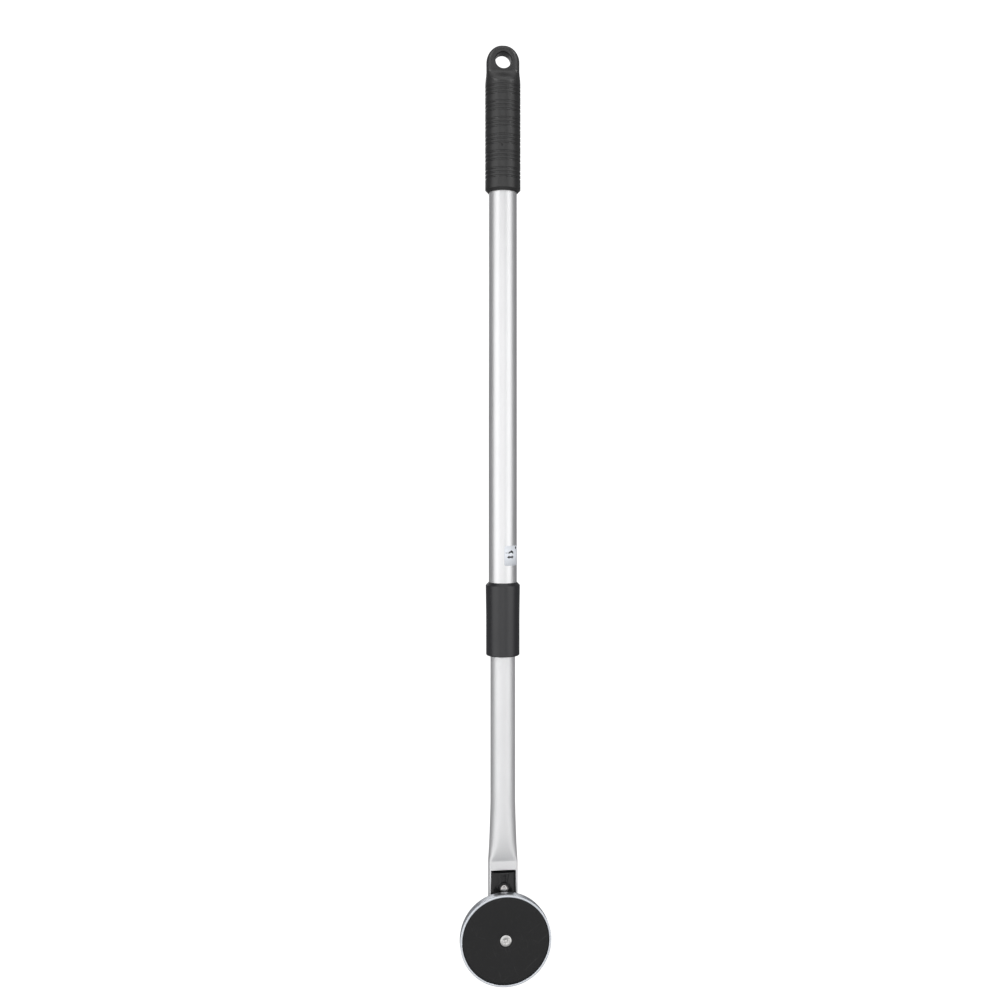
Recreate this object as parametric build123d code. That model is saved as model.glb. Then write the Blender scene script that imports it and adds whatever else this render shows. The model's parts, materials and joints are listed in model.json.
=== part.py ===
from build123d import *
import math
import os

# Magnetic nail sweeper: a telescoping pole with a rubber grip at the top, a twist lock in the middle and a
# round pot magnet on a tilting head at the bottom.  Millimetres.  The origin is the centre of the hang hole,
# +Z runs up the pole and -Y is the side that the magnet faces when the head hangs in line with the pole.

os.makedirs("parts", exist_ok=True)

# ---- fits -----------------------------------------------------------------------------------------------
running_gap = 0.05          # radial clearance of a bearing fit
free_gap = 0.3              # gap between pieces that move past each other

# ---- tubes ----------------------------------------------------------------------------------------------
upper_tube_diameter = 25.0
tube_wall = 1.2
upper_tube_top = -18.0
upper_tube_length = 487.0
tube_overlap = 275.0                # length of the lower tube inside the upper tube
lower_tube_straight = 429.0         # round length of the lower tube, above its pressed end

# ---- grip -----------------------------------------------------------------------------------------------
grip_wall = 3.25
grip_bottom = -117.0
grip_head_radius = 14.7             # round top of the head, about a centre just below the hang hole
grip_head_drop = 1.0
grip_head_thickness = 14.0
grip_head_corner = 5.0
grip_shoulder_top = -9.5
grip_shoulder_bottom = -22.0
grip_rim_chamfer = 2.4
hang_hole_diameter = 14.2
hang_hole_lip = 2.0
groove_groups = 6
groove_group_pitch = 14.7
groove_first_rise = 15.7            # from the grip's rim to the middle of the lowest group
grooves_per_group = 3
groove_pitch = 3.6
groove_width = 1.5
groove_depth = 0.55
vent_diameter = 2.4
vent_depth = 0.9
vent_level = -78.0
vent_offset = -2.9

# ---- twist lock -----------------------------------------------------------------------------------------
collar_rise = 41.0                  # from the upper tube's end to the collar's top
collar_length = 65.0
collar_top_wall = 2.8               # from the tube's outside to the collar's outside, at the top and below
collar_waist_wall = 2.4
collar_waist_drop = 30.0
collar_top_chamfer = 2.4
collar_bottom_radius = 3.6
collar_lip = 3.0                    # thickness of the collar's inturned top lip
collet_wall = 1.1
collet_sleeve_drop = 6.0            # from the collar's top to the collet's top
collet_finger_length = 19.0
collet_slot_width = 2.2
collet_slot_count = 4
collet_slot_margin = 3.0
collet_finger_rise = 0.1            # from the tube's outside to the fingers' outside
lobe_height = 0.4
lobe_count = 3
lobe_angle = 40.0
end_ring_thickness = 2.0
collet_pin_diameter = 3.0
collet_pin_drop = 17.0
label_rise = 33.0                   # from the collar's top to the label's top
label_height = 17.5
label_thickness = 0.12
label_start_angle = 0.0             # from the front of the tube round to its right side
label_end_angle = 84.0

# ---- glide on top of the lower tube ---------------------------------------------------------------------
plug_length = 18.0
plug_flange = 3.0
spigot_shoulder = 2.8               # step from the lower tube's bore in to the spigot
glide_ring_height = 12.0
glide_ring_slit = 1.6
glide_screw_diameter = 4.0
glide_screw_length = 14.0
glide_screw_head_radius = 4.0
glide_screw_head_height = 2.6
glide_washer_gap = 1.7
glide_washer_thickness = 1.2

# ---- pressed end of the lower tube ----------------------------------------------------------------------
press_length = 52.5                 # from the end of the round tube to the crease
press_spread = 3.6                  # how much wider the pressed end is than the round tube
press_corner = 1.8
press_sections = 8
shortest_side = 0.3                 # half of the shortest flat left between two rounded corners
press_width_power = 1.2
press_corner_power = 4.0
front_cut_drop = 8.1                # from the crease to the edge of the front opening
back_cut_drop = 23.5                # from the crease to the edge of the back wall

# ---- hinge of the head ----------------------------------------------------------------------------------
pivot_drop = 39.5                   # from the crease to the pivot
pivot_diameter = 5.0
pivot_head_step = 1.7               # from the bolt's shank out to its head's edge
pivot_head_height = 2.8
pivot_nut_height = 4.0
outer_washer_thickness = 0.8
inner_washer_thickness = 0.6

block_top_above_pivot = 30.0
block_front_centre = 10.0           # reach of the block's bowed front face, at its middle and at its sides
block_front_side = 6.0
block_boss_wall = 4.0               # plastic round the pivot's bore
block_foot_thickness = 5.0
block_foot_top = 7.0                # above the pivot
block_foot_reach = 8.0              # from the magnet's centre down to the centre of the foot's round end
block_ramp_height = 4.5
block_edge_radius = 0.8
stop_plate_thickness = 2.0
stop_plate_half_width = 7.0
stop_plate_above_bolt = 8.5
stop_plate_below_bolt = 6.5
dome_bolt_above_pivot = 17.5
dome_bolt_diameter = 4.0
dome_bolt_head_radius = 3.9
dome_bolt_head_height = 1.6
dome_radius = 3.9
dome_flange_height = 1.0
dome_height = 3.0
dome_washer_radius = 4.6
dome_washer_thickness = 0.6
dome_recess_radius = 5.2
dome_recess_depth = 0.5

# ---- pot magnet -----------------------------------------------------------------------------------------
cup_diameter = 80.0
cup_depth = 10.0
cup_wall = 1.8
cup_base = 2.0
cup_back_radius = 1.2
cup_lip_chamfer = 0.3
cup_setback = 15.0                  # from the pole's middle plane to the back of the cup
cup_rim_rise = 17.0                 # from the pivot up to the top of the cup's rim
filler_width = 2.2
pole_radius = 6.5
face_thickness = 1.0
face_recess = 1.0
face_play = 0.2
centre_screw_diameter = 5.0
centre_screw_head_radius = 5.0
centre_screw_head_height = 2.8
centre_screw_tail = 1.0
centre_washer_radius = 5.0
centre_washer_thickness = 1.0
centre_nut_across = 8.0
centre_nut_height = 4.0
foot_rivet_diameter = 3.2
foot_rivet_head_radius = 3.0
foot_rivet_head_height = 1.2
foot_rivet_spacing = 13.0
foot_rivet_drop = 9.5

# ---- places worked out from the sizes above -------------------------------------------------------------
upper_outer = upper_tube_diameter / 2
upper_inner = upper_outer - tube_wall
lower_outer = upper_inner - free_gap
lower_inner = lower_outer - tube_wall
lower_tube_diameter = 2 * lower_outer
upper_tube_bottom = upper_tube_top - upper_tube_length
lower_tube_top = upper_tube_bottom + tube_overlap
grip_diameter = upper_tube_diameter + 2 * grip_wall
groove_group_lowest = grip_bottom + groove_first_rise
collar_top = upper_tube_bottom + collar_rise
collar_bottom = collar_top - collar_length
collar_top_diameter = upper_tube_diameter + 2 * collar_top_wall
collar_waist_diameter = upper_tube_diameter + 2 * collar_waist_wall
collar_bore_radius = upper_outer + collet_wall + free_gap
collet_finger_radius = upper_outer + collet_finger_rise
label_top = collar_top + label_rise
collet_top = collar_top - collet_sleeve_drop
collet_bottom = upper_tube_bottom - collet_finger_length
collet_sleeve_radius = collar_bore_radius - free_gap
pad_radius = collet_finger_radius + lobe_height + free_gap
collet_pin_level = collet_top - collet_pin_drop
spigot_radius = lower_inner - spigot_shoulder
glide_washer_radius = upper_inner - glide_washer_gap
press_start = lower_tube_top - lower_tube_straight
crease = press_start - press_length
press_width = lower_tube_diameter + press_spread
girth = math.pi * lower_tube_diameter
rounding = 8 - 2 * math.pi          # what a rounded corner takes off a rectangle's girth, per unit of radius
press_depth = (girth + rounding * press_corner) / 2 - press_width
ear_outer = press_width / 2
ear_inner = ear_outer - tube_wall
block_half_width = ear_inner - inner_washer_thickness - free_gap
cut_half_width = block_half_width + free_gap + running_gap
pivot = crease - pivot_drop
pivot_head_radius = pivot_diameter / 2 + pivot_head_step
pivot_nut_across = 1.6 * pivot_diameter
outer_washer_radius = pivot_diameter
block_boss_radius = pivot_diameter / 2 + block_boss_wall
block_rear = press_depth / 2 - tube_wall - free_gap
inner_washer_radius = press_depth / 2 - press_corner     # the flat inside of an ear
dome_bolt_level = pivot + dome_bolt_above_pivot
dome_seat = block_front_centre - dome_recess_depth
cup_radius = cup_diameter / 2
cup_centre = pivot + cup_rim_rise - cup_radius
cup_front = cup_setback + cup_depth
cup_floor = cup_setback + cup_base
face_front = cup_front - face_recess
face_back = face_front - face_thickness
foot_rear = cup_setback - block_foot_thickness
rivet_level = cup_centre - foot_rivet_drop


# ---- helpers --------------------------------------------------------------------------------------------
def rod(radius, bottom, top):
    """Round bar on the pole's axis between two levels."""
    return extrude(Plane.XY.offset(bottom) * Circle(radius), top - bottom)


def pipe(outer, inner, bottom, top):
    """Hollow round bar on the pole's axis."""
    return rod(outer, bottom, top) - rod(inner, bottom, top)


def rod_along_y(radius, near, far, x, level):
    """Round bar that runs forward, from y = -near to y = -far, at a sideways place and level."""
    start = Plane(origin=(x, -near, level), x_dir=(1, 0, 0), z_dir=(0, -1, 0))
    return extrude(start * Circle(radius), far - near)


def hexagon_along_y(across, near, far, level):
    """Six-sided bar that runs forward between two planes."""
    start = Plane(origin=(0, -near, level), x_dir=(1, 0, 0), z_dir=(0, -1, 0))
    return extrude(start * RegularPolygon(across / 2, 6, major_radius=False), far - near)


def rod_along_x(radius, left, right, level):
    """Round bar across the pole between two sideways places."""
    start = Plane(origin=(left, 0, level), x_dir=(0, 1, 0), z_dir=(1, 0, 0))
    return extrude(start * Circle(radius), right - left)


def turned(points):
    """Solid of revolution about the pole's axis from (radius, level) points."""
    return revolve(make_face(Plane.XZ * Polyline(*points, close=True)), Axis.Z)


def turned_along_y(points, level):
    """Solid of revolution about a forward axis from (radius, forward distance) points."""
    outline = Polyline(*[(radius, -forward, level) for radius, forward in points], close=True)
    return revolve(make_face(outline), Axis((0, 0, level), (0, -1, 0)))


def sector(radius, start_angle, end_angle, bottom, top):
    """Pie slice about the pole's axis; angles turn from +X towards +Y, at most 180 degrees apart."""
    reach = radius / math.cos(math.radians(end_angle - start_angle) / 4)
    middle = (start_angle + end_angle) / 2
    corners = [(reach * math.cos(math.radians(a)), reach * math.sin(math.radians(a)))
               for a in (start_angle, middle, end_angle)]
    slice_face = make_face(Polyline((0, 0), *corners, close=True))
    return extrude(Plane.XY.offset(bottom) * slice_face, top - bottom)


def export(name, shape):
    """Write one named piece."""
    export_step(shape, f"parts/{name}.step")


# ---- grip -----------------------------------------------------------------------------------------------
def groove_levels():
    """Levels of all the grooves, from the bottom up."""
    middle = (grooves_per_group - 1) / 2
    return [groove_group_lowest + group * groove_group_pitch + (step - middle) * groove_pitch
            for group in range(groove_groups) for step in range(grooves_per_group)]


def make_grip_body():
    """Round part of the grip, turned with its chamfered rim and its grooves."""
    half = grip_diameter / 2
    setback = groove_width / 2 - groove_depth
    half_mouth = math.sqrt((groove_width / 2) ** 2 - setback ** 2)
    start = (half, grip_bottom + grip_rim_chamfer)
    edges = Polyline((0, grip_bottom), (half - grip_rim_chamfer, grip_bottom), start).edges()
    for level in groove_levels():
        edges.append(Line(start, (half, level - half_mouth)))
        start = (half, level + half_mouth)
        edges.append(ThreePointArc((half, level - half_mouth), (half - groove_depth, level), start))
    edges += Polyline(start, (half, grip_shoulder_bottom), (0, grip_shoulder_bottom), (0, grip_bottom)).edges()
    return revolve(Plane.XZ * make_face(Wire(edges)), Axis.Z)


def make_grip_head():
    """Flat head with a round top and evenly rounded edges."""
    centre = -grip_head_drop
    sides = Polyline((-grip_head_radius, centre), (-grip_head_radius, grip_shoulder_top),
                     (grip_head_radius, grip_shoulder_top), (grip_head_radius, centre))
    crown = ThreePointArc((grip_head_radius, centre), (0, centre + grip_head_radius), (-grip_head_radius, centre))
    head = extrude(Plane.XZ * make_face(sides + crown), grip_head_thickness / 2, both=True)
    faces = head.edges().group_by(Axis.Y)
    outline = (faces[0] + faces[-1]).filter_by(lambda e: e.center().Z > grip_shoulder_top + running_gap)
    return fillet(outline, grip_head_corner)


def hang_hole_cutter():
    """Hang hole with rounded lips, open at both faces of the head."""
    radius = hang_hole_diameter / 2
    wide = radius + hang_hole_lip
    face = grip_head_thickness / 2
    inner = face - hang_hole_lip
    bend = hang_hole_lip * (1 - math.sqrt(0.5))
    edges = Polyline((0, -grip_diameter), (wide, -grip_diameter), (wide, -face)).edges()
    edges.append(ThreePointArc((wide, -face), (radius + bend, bend - face), (radius, -inner)))
    edges.append(Line((radius, -inner), (radius, inner)))
    edges.append(ThreePointArc((radius, inner), (radius + bend, face - bend), (wide, face)))
    edges += Polyline((wide, face), (wide, grip_diameter), (0, grip_diameter), (0, -grip_diameter)).edges()
    return revolve(make_face(Wire(edges)), Axis.Y)


def make_grip():
    """Moulded grip: round body, flat head with the hang hole, grooves and a blind bore for the tube."""
    half = grip_diameter / 2
    shoulder = loft([Plane.XY.offset(grip_shoulder_bottom) * Circle(half),
                     Plane.XY.offset(grip_shoulder_top) * RectangleRounded(
                         2 * grip_head_radius, grip_head_thickness, grip_head_corner)])
    grip = make_grip_body() + shoulder + make_grip_head()
    grip -= hang_hole_cutter()
    grip -= rod(upper_outer, grip_bottom, upper_tube_top)
    vent = rod_along_y(vent_diameter / 2, half - vent_depth, grip_diameter, vent_offset, vent_level)
    return grip - vent


# ---- twist lock -----------------------------------------------------------------------------------------
def make_upper_tube():
    tube = pipe(upper_outer, upper_inner, upper_tube_bottom, upper_tube_top)
    return tube - make_collet_pins()


def make_collet_pins():
    """Two short rivets that fix the collet to the upper tube."""
    pins = rod_along_x(collet_pin_diameter / 2, -collet_sleeve_radius, collet_sleeve_radius, collet_pin_level)
    return pins - rod(upper_inner, collet_bottom, collet_top)


def make_collet():
    """Sleeve round the tube's end, with slotted fingers below it that carry the cam lobes."""
    collet = pipe(collet_sleeve_radius, upper_outer, upper_tube_bottom, collet_top)
    collet += pipe(collet_sleeve_radius, upper_inner, upper_tube_bottom - collet_slot_margin, upper_tube_bottom)
    finger_top = upper_tube_bottom - collet_slot_margin
    collet += pipe(collet_finger_radius, upper_inner, collet_bottom, finger_top)
    lobe_ring = pipe(collet_finger_radius + lobe_height, upper_inner, collet_bottom, finger_top)
    for index in range(lobe_count):
        middle = -90 + index * 360 / lobe_count
        collet += lobe_ring & sector(collar_bore_radius, middle - lobe_angle / 2, middle + lobe_angle / 2,
                                     collet_bottom, finger_top)
    for index in range(collet_slot_count):
        slot = Pos(collet_finger_radius, 0, (collet_bottom + finger_top) / 2) * Box(
            collet_finger_radius * 2, collet_slot_width, collet_finger_length - collet_slot_margin)
        collet -= Rot(0, 0, 45 + index * 360 / collet_slot_count) * slot
    return collet - make_collet_pins()


def make_lock_collar():
    """Tapered collar that turns round the collet; three inner pads press the lobes."""
    top = collar_top_diameter / 2
    waist = collar_waist_diameter / 2
    waist_level = collar_top - collar_waist_drop
    collar = turned([(0, collar_bottom), (waist, collar_bottom), (waist, waist_level), (top, collar_top),
                     (0, collar_top)])
    collar = chamfer(collar.edges().group_by(Axis.Z)[-1], collar_top_chamfer)
    collar = fillet(collar.edges().group_by(Axis.Z)[0], collar_bottom_radius)
    collar -= rod(upper_outer + free_gap, collar_bottom, collar_top)
    collar -= rod(collar_bore_radius, collar_bottom + collar_bottom_radius, collar_top - collar_lip)
    seat = collar_bottom + collar_bottom_radius
    pad_ring = pipe(collar_bore_radius, pad_radius, seat, upper_tube_bottom - collet_slot_margin)
    for index in range(lobe_count):
        middle = -90 + index * 360 / lobe_count
        collar += pad_ring & sector(collar_bore_radius, middle - lobe_angle / 2, middle + lobe_angle / 2,
                                    seat, upper_tube_bottom - collet_slot_margin)
    return collar


def make_collar_end_ring():
    """Ring pressed into the collar's mouth, below the collet's fingers."""
    return pipe(upper_outer + free_gap, lower_outer + free_gap, collar_bottom,
                collar_bottom + end_ring_thickness)


def make_lock_label():
    """Thin curved label on the tube above the collar."""
    band = pipe(upper_outer + label_thickness, upper_outer, label_top - label_height, label_top)
    return band & sector(grip_diameter, -90 + label_start_angle, -90 + label_end_angle,
                         label_top - label_height, label_top)


# ---- glide ----------------------------------------------------------------------------------------------
spigot_bottom = lower_tube_top + plug_flange
spigot_top = spigot_bottom + glide_ring_height + 2 * free_gap


def make_lower_tube_plug():
    """Plug in the lower tube's top, with a flange on the tube's end and a spigot for the glide ring."""
    plug = rod(lower_inner, lower_tube_top - plug_length, lower_tube_top)
    plug += rod(lower_outer, lower_tube_top, spigot_bottom)
    plug += rod(spigot_radius, spigot_bottom, spigot_top)
    hole_bottom = spigot_top + glide_washer_thickness - glide_screw_length
    return plug - rod(glide_screw_diameter / 2, hole_bottom, spigot_top)


def make_glide_ring():
    """Split ring that runs in the upper tube and lets the lower tube turn on its spigot."""
    bottom = spigot_bottom + free_gap
    top = bottom + glide_ring_height
    ring = pipe(upper_inner - running_gap, spigot_radius + running_gap, bottom, top)
    slit = Pos(0, upper_inner / 2, (bottom + top) / 2) * Box(glide_ring_slit, upper_inner, glide_ring_height)
    return ring - slit


def make_glide_washer():
    return pipe(glide_washer_radius, glide_screw_diameter / 2, spigot_top, spigot_top + glide_washer_thickness)


def make_glide_screw():
    seat = spigot_top + glide_washer_thickness
    screw = rod(glide_screw_diameter / 2, seat - glide_screw_length, seat)
    screw += rod(glide_screw_head_radius, seat, seat + glide_screw_head_height)
    socket = extrude(Plane.XY.offset(seat + glide_screw_head_height / 2) * RegularPolygon(
        glide_screw_head_radius / 2, 6), glide_screw_head_height)
    return screw - socket


# ---- lower tube -----------------------------------------------------------------------------------------
def press_outline(share, inset):
    """Outline of the pressed end in eight edges; share runs from 0 at the round tube to 1 at the crease."""
    width = lower_tube_diameter + (press_width - lower_tube_diameter) * share ** press_width_power
    corner = lower_outer - (lower_outer - press_corner) * share ** press_corner_power
    depth = (girth + rounding * corner) / 2 - width
    level = press_start - press_length * share
    half_width = width / 2 - inset
    half_depth = depth / 2 - inset
    if share == 0:
        return round_outline(half_width, level)
    radius = min(corner - inset, half_width - shortest_side, half_depth - shortest_side)
    edges = []
    for quarter, (x_side, y_side) in enumerate(((1, 1), (-1, 1), (-1, -1), (1, -1))):
        centre = Vector(x_side * (half_width - radius), y_side * (half_depth - radius), level)
        edges.append(CenterArc(centre, radius, 90 * quarter, 90))
    sides = [Line(edges[index] @ 1, edges[(index + 1) % 4] @ 0) for index in range(4)]
    return Wire([edge for pair in zip(edges, sides) for edge in pair])


def round_outline(radius, level):
    """Circle in eight arcs that match the corners and sides of the pressed outline."""
    half_side = math.degrees(math.asin(shortest_side / radius))
    edges = []
    for quarter in range(4):
        edges.append(CenterArc((0, 0, level), radius, 90 * quarter + half_side, 90 - 2 * half_side))
        edges.append(CenterArc((0, 0, level), radius, 90 * (quarter + 1) - half_side, 2 * half_side))
    return Wire(edges)


def press_blend(inset):
    """Solid that blends the round tube into the pressed end."""
    shares = [index / (press_sections - 1) for index in range(press_sections)]
    return Solid.make_loft([press_outline(share, inset) for share in shares])


def press_straight(inset):
    """Straight box section below the crease."""
    return extrude(make_face(press_outline(1, inset)), crease - ear_bottom(), dir=(0, 0, -1))


def ear_bottom():
    return pivot - press_depth / 2


def make_lower_tube():
    """Round tube whose lower end is pressed to a box section and cut open into two hinge ears."""
    tube = pipe(lower_outer, lower_inner, press_start, lower_tube_top)
    blend = press_blend(0) - press_blend(tube_wall)
    channel = press_straight(0) - press_straight(tube_wall)
    for cut_top, side in ((crease - front_cut_drop, -1), (crease - back_cut_drop, 1)):
        height = cut_top - ear_bottom()
        channel -= Pos(0, side * press_depth / 2, cut_top - height / 2) * Box(
            2 * cut_half_width, press_depth, height)
    round_end = rod_along_x(press_depth / 2, -press_width, press_width, pivot)
    square_end = Pos(0, 0, pivot - press_depth / 4) * Box(2 * press_width, press_depth, press_depth / 2)
    channel -= square_end - round_end
    channel -= rod_along_x(pivot_diameter / 2, -press_width, press_width, pivot)
    return tube + blend + channel


# ---- hinge ----------------------------------------------------------------------------------------------
def make_pivot_bolt():
    seat = ear_outer + outer_washer_thickness
    bolt = rod_along_x(pivot_diameter / 2, -seat, seat + pivot_nut_height, pivot)
    head = rod_along_x(pivot_head_radius, -seat - pivot_head_height, -seat, pivot)
    head = fillet(head.edges().group_by(Axis.X)[0], pivot_head_height / 2)
    start = Plane(origin=(-seat - pivot_head_height, 0, pivot), x_dir=(0, 1, 0), z_dir=(1, 0, 0))
    socket = extrude(start * RegularPolygon(pivot_diameter / 2 - tube_wall / 2, 6), pivot_head_height / 2)
    return bolt + head - socket


def make_pivot_nut():
    seat = ear_outer + outer_washer_thickness
    start = Plane(origin=(seat, 0, pivot), x_dir=(0, 1, 0), z_dir=(1, 0, 0))
    nut = extrude(start * RegularPolygon(pivot_nut_across / 2, 6, major_radius=False), pivot_nut_height)
    return nut - rod_along_x(pivot_diameter / 2, seat, seat + pivot_nut_height, pivot)


def washer_pair(radius, inner_face, thickness):
    """Two washers on the pivot, one at each ear."""
    pair = []
    for left in (-inner_face - thickness, inner_face):
        washer = rod_along_x(radius, left, left + thickness, pivot)
        pair.append(washer - rod_along_x(pivot_diameter / 2, left, left + thickness, pivot))
    return Compound(children=pair)


def block_side_outline():
    """Side outline of the hinge block, in (forward, level) values turned into y and z."""
    top = pivot + block_top_above_pivot
    foot_top = pivot + block_foot_top
    foot_bottom = cup_centre - block_foot_reach - block_half_width
    ramp_top = foot_top + block_ramp_height
    web = pivot - block_boss_radius
    points = [(-block_rear, top), (block_front_centre, top), (block_front_centre, ramp_top),
              (cup_setback, foot_top), (cup_setback, foot_bottom), (foot_rear, foot_bottom),
              (foot_rear, web - block_foot_thickness), (0, web), (0, pivot), (-block_rear, pivot)]
    return [(-forward, level) for forward, level in points]


def block_front_cutter():
    """Everything in front of the bowed face of the block's tongue."""
    top = pivot + block_top_above_pivot
    floor = pivot + block_foot_top + block_ramp_height
    half = block_half_width
    bow = ThreePointArc((-half, -block_front_side), (0, -block_front_centre), (half, -block_front_side))
    far = Polyline((half, -block_front_side), (2 * half, -block_front_side), (2 * half, -cup_front),
                   (-2 * half, -cup_front), (-2 * half, -block_front_side), (-half, -block_front_side))
    face = make_face(Plane.XY.offset(floor) * (bow + far))
    return extrude(face, top - floor)


def make_hinge_block():
    """Moulded block: tongue between the ears, boss on the pivot and a foot on the back of the cup."""
    half = block_half_width
    outline = make_face(Plane.YZ * Polyline(*block_side_outline(), close=True))
    block = extrude(outline, half, both=True)
    block += rod_along_x(block_boss_radius, -half, half, pivot)
    block -= block_front_cutter()
    foot_end = cup_centre - block_foot_reach
    square = Pos(0, -cup_setback + block_foot_thickness / 2, foot_end - half / 2) * Box(
        2 * half, block_foot_thickness, half)
    block -= square - rod_along_y(half, foot_rear, cup_setback, 0, foot_end)
    top_edges = block.edges().group_by(Axis.Z)[-1]
    block = fillet(top_edges, block_edge_radius)
    block -= rod_along_x(pivot_diameter / 2 + running_gap, -half, half, pivot)
    block -= make_stop_plate_blank()
    block -= rod_along_y(dome_bolt_diameter / 2, -block_rear, cup_setback, 0, dome_bolt_level)
    block -= rod_along_y(dome_recess_radius, dome_seat, cup_front, 0, dome_bolt_level)
    block -= rod_along_y(centre_screw_diameter / 2, foot_rear, cup_setback, 0, cup_centre)
    for side in (-1, 1):
        block -= rod_along_y(foot_rivet_diameter / 2, foot_rear, cup_setback, side * foot_rivet_spacing / 2,
                             rivet_level)
    return block


def make_stop_plate_blank():
    height = stop_plate_above_bolt + stop_plate_below_bolt
    middle = dome_bolt_level + (stop_plate_above_bolt - stop_plate_below_bolt) / 2
    return Pos(0, block_rear - stop_plate_thickness / 2, middle) * Box(
        2 * stop_plate_half_width, stop_plate_thickness, height)


def make_stop_plate():
    """Steel plate let into the back of the tongue, which meets the back wall of the pressed tube."""
    return make_stop_plate_blank() - make_dome_bolt()


def make_dome_bolt():
    """Countersunk bolt through the stop plate and the tongue."""
    tip = dome_seat + dome_washer_thickness + dome_flange_height
    points = [(0, -block_rear), (dome_bolt_head_radius, -block_rear),
              (dome_bolt_diameter / 2, dome_bolt_head_height - block_rear),
              (dome_bolt_diameter / 2, tip), (0, tip)]
    return turned_along_y(points, dome_bolt_level)


def make_dome_washer():
    outer = dome_seat + dome_washer_thickness
    washer = rod_along_y(dome_washer_radius, dome_seat, outer, 0, dome_bolt_level)
    return washer - rod_along_y(dome_bolt_diameter / 2, dome_seat, outer, 0, dome_bolt_level)


def make_dome_nut():
    """Closed nut with a polished domed end."""
    seat = dome_seat + dome_washer_thickness
    flange = seat + dome_flange_height
    nut = rod_along_y(dome_radius, seat, flange, 0, dome_bolt_level)
    ball_radius = (dome_radius ** 2 + dome_height ** 2) / (2 * dome_height)
    ball = Pos(0, -(flange + dome_height - ball_radius), dome_bolt_level) * Sphere(ball_radius)
    cap = ball & rod_along_y(dome_radius, flange, flange + dome_height, 0, dome_bolt_level)
    return nut + cap - rod_along_y(dome_bolt_diameter / 2, seat, flange, 0, dome_bolt_level)


# ---- pot magnet -----------------------------------------------------------------------------------------
def disc(radius, back, front):
    """Round plate on the magnet's axis."""
    return rod_along_y(radius, back, front, 0, cup_centre)


def ring(outer, inner, back, front):
    return disc(outer, back, front) - disc(inner, back, front)


def make_magnet_cup():
    cup = disc(cup_radius, cup_setback, cup_front)
    cup = fillet(cup.edges().group_by(Axis.Y)[-1], cup_back_radius)
    cup = chamfer(cup.edges().group_by(Axis.Y)[0], cup_lip_chamfer)
    cup -= disc(cup_radius - cup_wall, cup_floor, cup_front)
    cup -= disc(centre_screw_diameter / 2, cup_setback, cup_floor)
    return cup - make_foot_rivets()


def make_filler_ring():
    outer = cup_radius - cup_wall
    return ring(outer, outer - filler_width, cup_floor, face_back)


def make_ring_magnet():
    return ring(cup_radius - cup_wall - filler_width, pole_radius, cup_floor, face_back)


def make_centre_pole():
    return disc(pole_radius, cup_floor, face_back) - make_centre_screw_blank()


def make_face_plate():
    plate = disc(cup_radius - cup_wall - face_play, face_back, face_front)
    return plate - make_centre_screw_blank()


def make_centre_screw_blank():
    """Countersunk screw through the face, the pole, the cup and the foot of the hinge block."""
    tip = foot_rear - centre_washer_thickness - centre_nut_height - centre_screw_tail
    radius = centre_screw_diameter / 2
    points = [(0, face_front), (centre_screw_head_radius, face_front),
              (radius, face_front - centre_screw_head_height), (radius, tip), (0, tip)]
    return turned_along_y(points, cup_centre)


def make_centre_screw():
    """The screw with its hexagon socket."""
    socket_floor = face_front - centre_screw_head_height / 2
    return make_centre_screw_blank() - hexagon_along_y(
        centre_screw_diameter / 2, socket_floor, cup_front, cup_centre)


def make_centre_washer():
    return ring(centre_washer_radius, centre_screw_diameter / 2, foot_rear - centre_washer_thickness, foot_rear)


def make_centre_nut():
    seat = foot_rear - centre_washer_thickness
    nut = hexagon_along_y(centre_nut_across, seat - centre_nut_height, seat, cup_centre)
    return nut - disc(centre_screw_diameter / 2, seat - centre_nut_height, seat)


def make_foot_rivets():
    """Two rivets that stop the cup from turning on the foot."""
    rivets = []
    for side in (-1, 1):
        x = side * foot_rivet_spacing / 2
        head = rod_along_y(foot_rivet_head_radius, foot_rear - foot_rivet_head_height, foot_rear, x, rivet_level)
        head = fillet(head.edges().group_by(Axis.Y)[-1], foot_rivet_head_height * 0.7)
        rivets.append(head + rod_along_y(foot_rivet_diameter / 2, foot_rear, cup_floor, x, rivet_level))
    return Compound(children=rivets)


pieces = {
    "grip": make_grip,
    "upper_tube": make_upper_tube,
    "lock_label": make_lock_label,
    "collet": make_collet,
    "collet_pins": make_collet_pins,
    "lock_collar": make_lock_collar,
    "collar_end_ring": make_collar_end_ring,
    "glide_ring": make_glide_ring,
    "lower_tube_plug": make_lower_tube_plug,
    "glide_washer": make_glide_washer,
    "glide_screw": make_glide_screw,
    "lower_tube": make_lower_tube,
    "pivot_bolt": make_pivot_bolt,
    "pivot_nut": make_pivot_nut,
    "hinge_block": make_hinge_block,
    "stop_plate": make_stop_plate,
    "dome_bolt": make_dome_bolt,
    "dome_washer": make_dome_washer,
    "dome_nut": make_dome_nut,
    "magnet_cup": make_magnet_cup,
    "filler_ring": make_filler_ring,
    "ring_magnet": make_ring_magnet,
    "centre_pole": make_centre_pole,
    "face_plate": make_face_plate,
    "centre_screw": make_centre_screw,
    "centre_washer": make_centre_washer,
    "centre_nut": make_centre_nut,
    "foot_rivets": make_foot_rivets,
}

for piece_name, make_piece in pieces.items():
    export(piece_name, make_piece())

export("outer_washers", washer_pair(outer_washer_radius, ear_outer, outer_washer_thickness))
export("inner_washers", washer_pair(inner_washer_radius, ear_inner - inner_washer_thickness,
                                    inner_washer_thickness))
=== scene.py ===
import json
import math

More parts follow.
